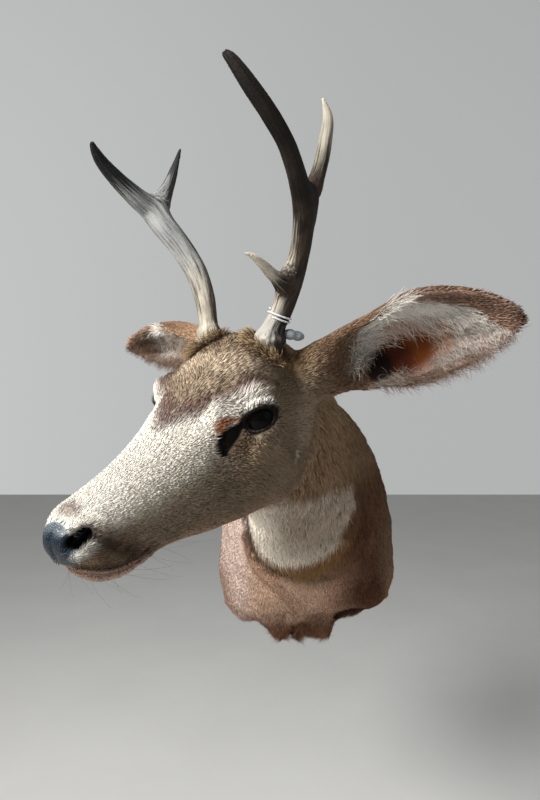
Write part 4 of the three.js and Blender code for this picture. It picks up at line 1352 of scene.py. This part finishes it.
def unwrapped(piece):
    """Lays the piece's own shape out flat in a map named OFBake."""
    piece.data.uv_layers.new(name="OFBake")
    bpy.context.view_layer.objects.active = piece
    bpy.ops.object.select_all(action="DESELECT")
    piece.select_set(True)
    bpy.ops.object.mode_set(mode="EDIT")
    bpy.ops.mesh.select_all(action="SELECT")
    bpy.ops.uv.smart_project(angle_limit=math.radians(66), island_margin=0.002)
    bpy.ops.object.mode_set(mode="OBJECT")


def finished(piece, slot, *nodes):
    """The piece rides on the mount and stands for its nodes, which are hidden; its slot is not used."""
    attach(piece, "root")
    if nodes:
        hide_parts(*nodes)
    return piece


STATE = {}


class MOUNT_OT_hide(bpy.types.Operator):
    """Make the hide over head, neck and ears"""

    bl_idname = "mount.hide"
    bl_label = "Hide"

    def execute(self, context):
        hide, w = hide_mesh(context.scene.mount_sizes)
        hide.data.shade_smooth()
        unwrapped(hide)
        mesh = hide.data
        marks, flow = markings(w), lie(w)
        tinted = marks["marking"] * np.array(context.scene.mount_sizes.coat_tint[:])
        put(mesh, "marking", tinted, "FLOAT_COLOR")
        for name in ("bare", "pebbled", "wet"):
            put(mesh, name, marks[name])
        put(mesh, "combed", combed(w), "FLOAT_VECTOR")
        mesh.materials.clear()
        mesh.materials.append(material("hide", hide_finish))
        STATE.update(hide=hide, places=w, marks=marks, flow=flow)
        finished(hide, "face_hide", *FLESH)
        return {"FINISHED"}


class MOUNT_OT_coat(bpy.types.Operator):
    """Grow the short coat of the head, neck, brisket and ears"""

    bl_idname = "mount.coat"
    bl_label = "Coat"

    def execute(self, context):
        sizes, w, bare = context.scene.mount_sizes, STATE["places"], STATE["marks"]["bare"]
        linings = [
            ear["inner"] * step(ear["s"] - ear_strip(name, ear["t"]), 0.02,
                                -0.12) for name, ear in w.ears.items()]
        off_crease = 1 - w.neck * step(w.seam, 4.5, 2.6)
        furred = (1 - bare) * (1 - np.maximum(*linings)) * off_crease * (w.p[:, 1] < -2.5)
        muzzle = step(w.x, 20, 150)
        chest = w.neck * step(w.p[:, 2], 30, -20) * step(w.p[:, 1], -260, -200)
        chin = w.head * step(w.hn[:, 2], -0.4, -0.8) * step(w.x, 96, 112)
        face = w.head * (11 - 3.0 * muzzle + 3 * chin) * (1 - 0.5 * step(w.near, 14, 3))
        length = face + w.neck * (17 - 6 * chest) + w.ear * 8
        from_mouth = np.abs(w.z - profile(MOUTH_LINE)(w.x))
        length *= 1 - 0.65 * w.head * step(from_mouth, 9, 4) * step(w.x, 98, 106)
        from_crease = np.minimum.reduce([w.seam, w.wrinkle + 3, w.folds + 8 * (1 - w.toward)])
        length *= 1 - 0.72 * w.neck * step(from_crease, 17, 6)
        along_ear = np.maximum(*(e["t"] for e in w.ears.values()))
        length *= 1 - 0.4 * w.ear * step(along_ear, 0.85, 1)
        width = w.head * (0.95 - 0.32 * muzzle) + w.neck * 1.2 + w.ear * 0.95
        lift = w.head * (1.9 - 1.4 * muzzle + 2.5 * chin) + w.neck * (3.2 - 1.2 * chest) + w.ear * 1.8
        rate = (w.head * (1.0 + 0.25 * muzzle) + w.neck * 0.46 + w.ear * 0.6) * furred
        tufts = hair(rate, np.minimum(length, reach_to_wall(w)), width, lift, STATE["flow"])
        STATE["coat"] = material("coat", coat_finish)
        density = sizes.tufts_per_mm2 * SQUARE_METRE
        pieces = grow("coat", STATE["hide"], tuft_blade("tuft"), STATE["coat"], density, tufts, 0.16, 0.8,
                      0.12, 3)
        for piece in pieces:
            finished(piece, "neck_hide")
        return {"FINISHED"}


def reach_to_wall(w):
    """How long a hair may be at every point before it passes the wall."""
    return np.maximum(-w.p[:, 1] / 1.35, 0.5)


class MOUNT_OT_long_hair(bpy.types.Operator):
    """Grow the long hair: ear linings and rims, hem under the brisket, lashes and whiskers"""

    bl_idname = "mount.long_hair"
    bl_label = "Long Hair"

    def execute(self, context):
        w = STATE["places"]
        dark = material("dark_hair", dark_hair_finish)
        self.linings(w)
        self.collars(w)
        self.hem(w)
        self.throat(w)
        self.lashes(w, dark)
        self.whiskers(w, dark)
        return {"FINISHED"}

    def stand(self, name, slot, blade, finish, per_mm2, hairs, unruly, clump, ticking, seed):
        density = per_mm2 * SQUARE_METRE
        for piece in grow(name, STATE["hide"], blade, finish, density, hairs, unruly, clump, ticking, seed):
            finished(piece, slot)

    def linings(self, w):
        """White and brown wisps in the ears' faces, over their fronts and along their edges; on the left ear
        the brown is partly painted shade on the lower, outer and lip wisps.
        """
        rate, flow, long = np.zeros(len(w.p)), np.zeros_like(w.p), np.full(len(w.p), 11.0)
        wisps = np.tile(srgb(*WISP_WHITE), (len(w.p), 1))
        for name, ear in w.ears.items():
            t, s, left = ear["t"], ear["s"], name == "left"
            facing, here = step(w.hn @ ear["face"], -0.3, 0.2) * ear["weight"], ear["weight"] > 0.1
            edge = s - ear_strip(name, t)
            upper = step(edge, 0.05, -0.06) * step(edge, -0.62, -0.25)
            outer = step(t, 0.62, 0.74) * step(edge, 0.05, -0.05) * 0.6
            lower = step(s, -0.55, -0.72) * step(t, 0.38, 0.46) * 0.8
            lowest = step(s, -0.75, -0.92)
            lip = step(np.abs(ear["past_lip"] + 0.035), 0.07, 0.03) * step(s, -0.5, -0.15)
            sparse = 0.22 * step(edge, 0.0, -0.1) * step(t, 0.3, 0.4)
            within = np.maximum.reduce([upper, outer, lower, sparse]) * ear["inner"] * (1 - ear_cave(t, s))
            fringe = np.maximum(lip * 0.85, lowest * step(t, 0.26, 0.36) * (0.9 if left else 0.3))
            rate = np.maximum.reduce([rate, within, fringe * facing])
            sweep = ear["along"] * (0.45 + 0.45 * lip)[:, None] + ear["face"] * 0.25
            sweep = sweep + ear["across"] * (-0.65 + 0.6 * lip + 0.35 * outer)[:, None]
            flow += (sweep @ HEAD_AXES.T) * ear["weight"][:, None]
            reach = (13 + 2 * lower + 5 * lip) * (1 - 0.5 * step(t, 0.72, 0.95)) * (1 if left else 0.8)
            long = np.where(here, reach, long)
            # tan: the ears' brown hair, and on the left ear also painted shade on its lower, outer and lip
            # wisps
            if left:
                tan = lip * 0.2 + 0.75 * lowest + 0.4 * lower + 0.3 * outer + 0.3 * step(s, 0.3, -0.3)
            else:
                tan = lip * 0.2 + np.maximum(step(s, -0.5, -0.72), step(t, 0.66, 0.8))
            wisps += (srgb(*WISP_TAN_AND_SHADE) - wisps) * (here * np.clip(tan, 0, 1))[:, None]
        hairs = hair(rate, long, 0.27, 4, unit(flow), marking=wisps)
        for name, curl, seed in (("ear_hair_up", 3.5, 51), ("ear_hair_down", -3.5, 52)):
            blade = strand_blade("wisp", 4, curl, 0.1)
            self.stand(name, "ear_hide", blade, STATE["coat"], 0.42, hairs, 0.6, 2.6, 0.06, seed)

    def collars(self, w):
        """Rough golden hair that stands round the foot of each antler."""
        aside = w.q - ANTLER_FOOT + np.array([0, 0, 2])
        ring = np.hypot(aside[:, 0], aside[:, 1])
        front = step(aside[:, 0], -8, 10)
        rate = w.head * step(ring, 12, 14) * step(ring, 22, 16) * step(w.z, 34, 44) * (0.6 + 0.7 * front)
        gold = np.tile(srgb(*COLLAR_GOLD), (len(w.p), 1)) * (1 + wander(w.p, 5, 9)[:, :1])
        out = aside * mirror_of(w) * np.array([1, 1, 0])
        flow = unit(out * 0.03 + np.array([0.25, 0, 0.5])) @ HEAD_AXES.T
        hairs = hair(rate, 6 + 4 * front, 0.5, 4 + 8 * front, flow, marking=np.clip(gold, 0.001, 1))
        blade = strand_blade("collar", 3, 2.4, 0.09)
        self.stand("collar_hair", "face_hide", blade, STATE["coat"], 1.1, hairs, 0.6, 2.2, 0.3, 61)

    def hem(self, w):
        """Rough hair that hangs under the brisket."""
        rate = w.neck * blob(w.p, (-12, -60, -158), (70, 62, 46), 0.7)
        down = unit(STATE["flow"] * 0.6 + np.array([0, -0.1, -0.9]))
        hairs = hair(rate, np.minimum(13 + 11 * rate, reach_to_wall(w)), 0.8, 3 + 3 * rate, down)
        blade = strand_blade("hem", 2, 1.8, 0.14)
        self.stand("hem_hair", "neck_hide", blade, STATE["coat"], 0.6, hairs, 0.4, 1.2, 0.3, 21)

    def throat(self, w):
        """Longer loose hair of the throat."""
        furred = 1 - STATE["marks"]["bare"]
        rate = w.neck * step(w.p[:, 1], -205, -250) * step(w.p[:, 2], 92, 60) * furred
        hairs = hair(rate, 24, 0.8, 5, STATE["flow"])
        blade = strand_blade("throat", 2, 1.2, 0.14)
        self.stand("throat_hair", "neck_hide", blade, STATE["coat"], 0.16, hairs, 0.2, 1.0, 0.0, 25)

    def lashes(self, w, dark):
        """Lashes along both upper lids."""
        out, _, up = eye_axes()
        over = (w.lift > 4) * step(np.abs(w.side_angle - 9), 44, 30) * (w.q[:, 1] > 25)
        rate = w.head * step(np.abs(w.near - 1.0), 1.0, 0.4) * over
        away = (w.ray * 0.6 + up * 0.15 + out * 0.9) * mirror_of(w)
        hairs = hair(rate, 5.5, 0.3, 1.2, away @ HEAD_AXES.T)
        blade = strand_blade("lash", 3, 0.3, 0.25)
        self.stand("lashes", "face_hide", blade, dark, 1.6, hairs, 0.15, 0.2, 0, 31)

    def whiskers(self, w, dark):
        """Fine whiskers under the chin and on the upper lip."""
        lip = step(w.x, 118, 140) * step(np.abs(w.z + 62), 9, 5) * (w.q[:, 1] > 18)
        rate = w.head * (step(w.x, 70, 105) * step(w.z, -70, -80) + 0.6 * lip) * (1 - STATE["marks"]["bare"])
        droop = unit(np.array([-0.55, 0.5, -0.6]) * mirror_of(w)) @ HEAD_AXES.T
        hairs = hair(rate, 36, 0.16, 17, droop)
        blade = strand_blade("whisker", 4, 9, 0.009)
        self.stand("whiskers", "face_hide", blade, dark, 0.007, hairs, 0.5, 0.3, 0, 41)


class MOUNT_OT_eyes(bpy.types.Operator):
    """Set both glass eyes"""

    bl_idname = "mount.eyes"
    bl_label = "Glass Eyes"

    def execute(self, context):
        finish = material("eye_glass", eye_finish, context.scene.mount_sizes.eye_colour)
        out, front, up = eye_axes()
        angle = np.linspace(0, np.pi, EYE_RINGS + 2)[1:-1, None]
        round_ = (np.arange(EYE_SIDES) / EYE_SIDES * 2 * np.pi)[None, :]
        parts = np.sin(angle) * np.cos(round_), np.sin(angle) * np.sin(round_), np.cos(angle)
        flat = np.stack(np.broadcast_arrays(*parts), -1).reshape(-1, 3)
        radius = EYE_RADIUS - 0.3 + CORNEA_RISE * np.exp(-((angle / 0.6) ** 2))
        ball = (flat @ np.stack([front, up, out])) * np.repeat(radius, EYE_SIDES)[:, None] + EYE_AT
        gaze = np.concatenate([flat, [[0, 0, 1], [0, 0, -1]]])
        for name, side in (("left", 1), ("right", -1)):
            rings = from_head(ball * np.array([1, side, 1])).reshape(EYE_RINGS, EYE_SIDES, 3)
            eye = new_object("glass_eye_" + name, *loft(rings), finish)
            put(eye.data, "gaze", gaze, "FLOAT_VECTOR")
            finished(eye, "eye", "eye_" + name)
        return {"FINISHED"}


PATH_STEP = 1.5


def smooth_path(path):
    """Points and radii every so often along a Catmull-Rom curve."""
    path = np.array(path, float)
    ext = np.concatenate([path[:1] * 2 - path[1:2], path, path[-1:] * 2 - path[-2:-1]])
    out = []
    for i in range(1, len(ext) - 2):
        a, b, c, d = ext[i - 1 : i + 3]
        steps = max(2, int(np.linalg.norm((c - b)[:3]) / PATH_STEP))
        t = (np.arange(steps) / steps)[:, None]
        bend = (2 * a - 5 * b + 4 * c - d) * t**2 + (3 * b - a - 3 * c + d) * t**3
        out.append(0.5 * (2 * b + (c - a) * t + bend))
    return np.concatenate(out + [path[-1:]])


def tube(centres, radii, sides):
    """Rings round a path, each square to it and not twisting."""
    ahead = unit(np.gradient(centres, axis=0))
    across = np.zeros_like(centres)
    guide = np.array([0.0, 1.0, 0.0]) if abs(ahead[0][1]) < 0.9 else np.array([1.0, 0, 0])
    for k, direction in enumerate(ahead):
        guide = unit(guide - (guide @ direction) * direction)
        across[k] = guide
    other = np.cross(ahead, across)
    angle = np.arange(sides) / sides * 2 * np.pi
    reach = np.broadcast_to(np.asarray(radii, float), (len(centres),))[:, None, None]
    ring = np.cos(angle)[None, :, None] * across[:, None] + np.sin(angle)[None, :, None] * other[:, None]
    return centres[:, None] + ring * reach, across, other


class MOUNT_OT_antlers(bpy.types.Operator):
    """Make both antlers, each one grown piece with its tines"""

    bl_idname = "mount.antlers"
    bl_label = "Antlers"

    def execute(self, context):
        sizes = context.scene.mount_sizes
        finish = material("antler", antler_finish, sizes.antler_pale, sizes.antler_brown)
        for side, parts in ANTLERS.items():
            stems, shells = {}, []
            sweeps = {**parts, "beam": parts["beam"][:-1] + parts["front_tine"][1:]}
            del sweeps["front_tine"]
            for name, path in sweeps.items():
                route = smooth_path(path)
                if name in ("brow_tine", "rear_tine"):
                    route[:, 3] *= 0.4 + 0.6 * step(np.arange(len(route)) * PATH_STEP, 0, 11)
                rings, across, other = tube(route[:, :3], route[:, 3], 40)
                stems[name] = (route, across, other)
                shells.append(loft(from_head(rings)))
            antler = remeshed(new_object("antler_" + side, *joined(shells)), 1.0)
            self.texture(antler, side, stems)
            antler.data.materials.clear()
            antler.data.materials.append(finish)
            finished(antler, "antler", *("antler_" + side + "_" + name for name in parts))
        return {"FINISHED"}

    def texture(self, antler, side, stems):
        """Webs in the forks, grooves along every stem, beads at the burr, and dark and worn places, the dark
        partly painted shade on the side away from the light.
        """
        mesh = antler.data
        h = to_head(points_of(mesh))
        for _ in range(4):
            gap, out = web(h, stems)
            h = h - out * gap[:, None]
        points = relaxed(mesh, from_head(h), np.full(len(h), 0.5), 4)
        for name, (route, _, _) in stems.items():
            if name != "beam":
                from_root = np.linalg.norm(h - route[6, :3], axis=1)
                points = relaxed(mesh, points, 0.5 * np.exp(-((from_root / 20) ** 4)), 40)
        set_points(mesh, points)
        h, normals = to_head(points), normals_of(mesh)
        grain, total, tone, worn = np.zeros_like(h), np.zeros(len(h)), np.zeros(len(h)), np.zeros(len(h))
        for name, stem in stems.items():
            gap, out, k = stem_gap(h, stem)
            route, across, other = stem
            span = np.concatenate([[0], np.cumsum(np.linalg.norm(np.diff(route[:, :3], axis=0), axis=1))])
            part = np.stack([(out * across[k]).sum(1) * 2.3, (out * other[k]).sum(1) * 2.3, span[k] / 60], 1)
            dark, pale = self.shades(side, name, span[k] / span[-1], h, out)
            near = np.exp(-np.clip(gap, -3, 60) / 3.5)
            total, tone, worn = total + near, tone + near * dark, worn + near * pale
            grain += near[:, None] * part
        tone, worn, grain = tone / total, worn / total, grain / total[:, None]
        streak = np.array([noise.noise(Vector(g) * 1.5) + 0.5 * noise.noise(Vector(g) * 3.4) for g in grain])
        beads = wander(h, 3.4, 6)[:, 0]
        burr = step(h[:, 2], 84, 66)
        ring = np.exp(-(((h[:, 2] - 60) / 3.2) ** 2))
        rise = streak * (0.7 - 0.5 * worn) + beads * (0.9 * burr * step(h[:, 2], 54, 58) + 0.08)
        rise += ring * (2.2 + 2.5 * beads)
        set_points(mesh, points + normals * rise[:, None])
        put(mesh, "grain", grain * 3.0, "FLOAT_VECTOR")
        # tone: the stems' own darkness, and painted light and shade by the side they face
        put(mesh, "tone", tone)
        put(mesh, "worn", worn)
        cool = {"left": step(h[:, 2], 100, 66) * 0.35, "right": step(h[:, 2], 90, 160) * 0.75}
        put(mesh, "cool", cool[side])

    def shades(self, side, name, share, h, out):
        """How dark and how worn a stem is, by its share of the length, with painted light and shade by the
        side it faces.
        """
        # painted light and shade: lighter on the side facing this direction, darker on the side away
        lit = out @ np.array([0.80, -0.60, 0.1])
        dark = profile(ANTLER_TONES[side][name])(share)
        if side == "left" and name != "brow_tine":
            dark = dark + (0.135 if name == "rear_tine" else 0.45) * step(lit, 0.15, -0.45)
        if side == "left" and name == "beam":
            dark = dark - 0.4 * step(lit, 0.2, 0.9) * step(share, 0.6, 0.45)
        if side == "right":
            dark = dark + 0.25 * step(lit, -0.2, -0.8)
        dark = dark - (0.3 if side == "left" else 0.2) * step(h[:, 2], 98, 64) * step(lit, -0.5, 0.0)
        most, start = WORN_TIPS.get((side, name), (0, 0))
        return dark, most * step(share, start, 0.98)


def stem_gap(h, stem):
    """Distance outside a stem, the direction away from its middle, and the nearest ring."""
    route = stem[0]
    square = (h**2).sum(1)[:, None] - 2 * h @ route[:, :3].T + (route[:, :3] ** 2).sum(1)[None]
    k = square.argmin(1)
    ahead = np.cross(stem[1], stem[2])[k]
    v = h - route[k, :3]
    inside = ((k > 0) & (k < len(route) - 1))[:, None]
    v = v - ahead * (v * ahead).sum(1)[:, None] * inside
    return np.linalg.norm(v, axis=1) - route[k, 3], unit(v), k


def web(h, stems):
    """Distance outside stems that run into one another in smooth webs, and its direction."""
    total = way = None
    for name, stem in stems.items():
        gap, out, _ = stem_gap(h, stem)
        if total is None:
            total, way = gap, out
            continue
        toward = unit(stem[0][len(stem[0]) // 2, :3] - stem[0][0, :3])
        width = (22.0 if name == "brow_tine" else 16.0) * (0.08 + 0.92 * step(way @ toward, -0.1, 0.6))
        share = np.clip(0.5 + 0.5 * (gap - total) / width, 0, 1)
        total = gap * (1 - share) + total * share - width * share * (1 - share)
        way = out * (1 - share)[:, None] + way * share[:, None]
    return total, unit(way)


CORD_TURNS, CORD_PITCH, CORD_RADIUS = 1.9, 3.2, 0.8
CORD_RINGS, CORD_SIDES = 220, 12
TAG_HALF_LENGTH = 11.5


class MOUNT_OT_fittings(bpy.types.Operator):
    """Make the cord and the tag at the left antler, and finish the backboard"""

    bl_idname = "mount.fittings"
    bl_label = "Fittings"

    def execute(self, context):
        sizes = context.scene.mount_sizes
        self.cord(sizes.cord_colour)
        self.tag(sizes.tag_colour)
        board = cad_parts["backboard"]
        board.data.materials.clear()
        board.data.materials.append(material("backboard", board_finish, sizes.board_colour))
        return {"FINISHED"}

    def cord(self, colour):
        """A cord wound round the foot of the left antler, where its solid stands."""
        route = smooth_path(ANTLERS["left"]["beam"])
        middle = to_head(np.mean(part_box("antler_tie"), axis=0) / MM)
        k = int(np.linalg.norm(route[:, :3] - middle, axis=1).argmin())
        axis = unit(route[k + 2, :3] - route[k - 2, :3])
        across = unit(np.array([1.0, 0, 0]) - axis[0] * axis)
        other = np.cross(axis, across)
        t = np.linspace(0, 1, CORD_RINGS)
        angle = t * CORD_TURNS * 2 * np.pi
        aside = np.cos(angle)[:, None] * across + np.sin(angle)[:, None] * other
        centres = route[k, :3] + axis * ((t - 0.5) * CORD_PITCH * CORD_TURNS)[:, None]
        centres = centres + aside * (route[k, 3] + 0.9)
        rings, _, _ = tube(centres, CORD_RADIUS, CORD_SIDES)
        cord = new_object("tie_cord", *loft(from_head(rings)), material("tie_cord", cord_finish, colour))
        lay = (np.arange(CORD_SIDES) / CORD_SIDES)[None, :] + (t * 150)[:, None]
        put(cord.data, "lay", np.concatenate([lay.ravel(), [lay[0].mean(), lay[-1].mean()]]))
        finished(cord, "tie", "antler_tie")

    def tag(self, colour):
        """A small smooth tag with a waist, rounded at both ends."""
        middle, ahead = np.array([-66, 47.5, 62.0]), unit(np.array([-0.93, 0.32, -0.24]))
        s = np.linspace(-1, 1, 41)
        waist = 1 - 0.2 * np.exp(-((s / 0.22) ** 2))
        radii = (4.9 - 0.5 * s) * np.sqrt(np.maximum(1 - np.abs(s) ** 2.6, 0.0004)) * waist
        rings, _, _ = tube(middle + ahead * (s * TAG_HALF_LENGTH)[:, None], radii, 32)
        tag = new_object("antler_tag_grey", *loft(from_head(rings)),
                         material("antler_tag", tag_finish, colour))
        finished(tag, "tag", "antler_tag")


FLOOR_HALF, FLOOR_AT = 6000, -750
LOOK_AT = (-0.05, -0.35, 0.08)
LIGHTS = {  # place and breadth in metres, colour
    "key": ((-1.25, -1.75, 1.2), 0.8, (1.0, 0.98, 0.95)),
    "fill": ((1.6, -1.5, 0.5), 1.6, (0.94, 0.97, 1.0)),
    "eye": ((1.75, -0.05, 0.3), 0.12, (1.0, 1.0, 1.0)),
    "top": ((-0.3, -0.2, 2.0), 1.4, (1.0, 1.0, 1.0)),
}


class MOUNT_OT_studio(bpy.types.Operator):
    """Set the pale floor, the soft lights and the camera"""

    bl_idname = "mount.studio"
    bl_label = "Studio"

    def execute(self, context):
        sizes = context.scene.mount_sizes
        corners = [(FLOOR_HALF * x, FLOOR_HALF * y, FLOOR_AT) for x,
                   y in ((-1, -1), (1, -1), (1, 1), (-1, 1))]
        floor = new_object("floor", corners, [(0, 1, 2, 3)],
                           material("floor", floor_finish, sizes.floor_colour))
        for name, (at, breadth, colour) in LIGHTS.items():
            lamp = bpy.data.lights.new(name + " light", "AREA")
            lamp.shape, lamp.size, lamp.color = "DISK", breadth, colour
            lamp.energy = getattr(sizes, name + "_light")
            stand = bpy.data.objects.new(name + " light", lamp)
            stand.location = at
            stand.rotation_euler = (Vector(LOOK_AT) - Vector(at)).to_track_quat("-Z", "Y").to_euler()
            context.scene.collection.objects.link(stand)
        self.room(context.scene, sizes.room_light)
        self.camera(context.scene)
        return {"FINISHED"}

    def room(self, scene, light):
        """A pale room, lighter behind the mount and on the deer's right."""
        world = bpy.data.worlds.new("studio")
        world.use_nodes = True
        scene.view_settings.view_transform = "Standard"
        g = Graph(world.node_tree)
        ray = g.add("ShaderNodeSeparateXYZ", None, {0: g.add("ShaderNodeTexCoord", output="Generated")})
        deep = Wire(g, ray.node, ray.node.outputs[1])
        strength = light * (1 + 1.15 * deep.between(0.1, 0.95) + 0.75 * (1 - ray.between(-0.95, 0.3)))
        sky = g.add("ShaderNodeBackground", None, {"Color": (0.80, 0.81, 0.81, 1), "Strength": strength})
        g.add("ShaderNodeOutputWorld", None, {"Surface": sky}, output=None)
        scene.world = world

    def camera(self, scene):
        camera = bpy.data.objects.new("camera", bpy.data.cameras.new("camera"))
        camera.location = CAMERA_AT * MM
        camera.rotation_euler = Euler((math.radians(90 + CAMERA_LIFT), 0, 0))
        camera.data.sensor_width, camera.data.lens = SENSOR, SENSOR * FOCAL_LENGTH / PICTURE_TALL
        camera.data.clip_start, camera.data.clip_end = 0.05, 60
        scene.collection.objects.link(camera)
        scene.camera = camera


# ---- add-on -------------------------------------------------------------------------------------
def tint(name, description, rgb):
    colour = tuple(float(c) for c in srgb(*rgb))
    return FloatVectorProperty(name=name, description=description, default=colour, size=3, min=0, max=1,
                               subtype="COLOR")


def amount(name, description, default, unit="NONE"):
    return FloatProperty(name=name, description=description, default=default, unit=unit)


class MountSizes(bpy.types.PropertyGroup):
    """Sizes, colours and light that a user may change"""

    face_depth: amount("Face Coat Depth", "How far the hide lies under the head's solid", 0.0024, "LENGTH")
    neck_depth: amount("Neck Coat Depth", "How far the hide lies under the neck's solid", 0.0060, "LENGTH")
    hide_grain: amount("Hide Grain", "Size of the hide's faces", 0.0029, "LENGTH")
    tufts_per_mm2: amount("Tufts per mm2", "Density of the short coat where it is fullest", 0.73)
    coat_tint: tint("Coat Tint", "Colour laid over all the coat's markings", (255, 255, 255))
    antler_pale: tint("Antler Ridges", "Colour of the antlers' ridges and worn tips", (184, 176, 160))
    antler_brown: tint("Antler Grooves", "Colour of the antlers' grooves", (58, 47, 39))
    eye_colour: tint("Eyes", "Colour of the iris", (10, 7, 6))
    cord_colour: tint("Cord", "Colour of the cord at the antler", (238, 239, 240))
    tag_colour: tint("Tag", "Darkest colour of the tag", (124, 132, 138))
    board_colour: tint("Board", "Palest colour of the backboard", (190, 150, 102))
    floor_colour: tint("Floor", "Colour of the floor", (203, 203, 201))
    key_light: amount("Key Light", "Power of the main light", 92.0, "POWER")
    fill_light: amount("Fill Light", "Power of the light from the other side", 3.0, "POWER")
    top_light: amount("Top Light", "Power of the light from above", 9.0, "POWER")
    eye_light: amount("Eye Light", "Power of the small light that glints in the left eye", 1.4, "POWER")
    room_light: amount("Room Light", "Strength of the light from all round", 0.26)


OPERATORS = (MOUNT_OT_studio, MOUNT_OT_hide, MOUNT_OT_coat, MOUNT_OT_long_hair, MOUNT_OT_eyes,
             MOUNT_OT_antlers, MOUNT_OT_fittings)


class MOUNT_PT_panel(bpy.types.Panel):
    bl_idname = "MOUNT_PT_panel"
    bl_label = "Deer Shoulder Mount"
    bl_space_type = "VIEW_3D"
    bl_region_type = "UI"
    bl_category = "Mount"

    def draw(self, context):
        for name in MountSizes.__annotations__:
            self.layout.prop(context.scene.mount_sizes, name)
        for operator in OPERATORS:
            self.layout.operator(operator.bl_idname)


CLASSES = (MountSizes, *OPERATORS, MOUNT_PT_panel)


def register():
    for cls in CLASSES:
        bpy.utils.register_class(cls)
    bpy.types.Scene.mount_sizes = PointerProperty(type=MountSizes)


def unregister():
    del bpy.types.Scene.mount_sizes
    for cls in reversed(CLASSES):
        bpy.utils.unregister_class(cls)


def main():
    register()
    for operator in OPERATORS:
        group, name = operator.bl_idname.split(".")
        getattr(getattr(bpy.ops, group), name)()


if __name__ == "__main__":
    main()
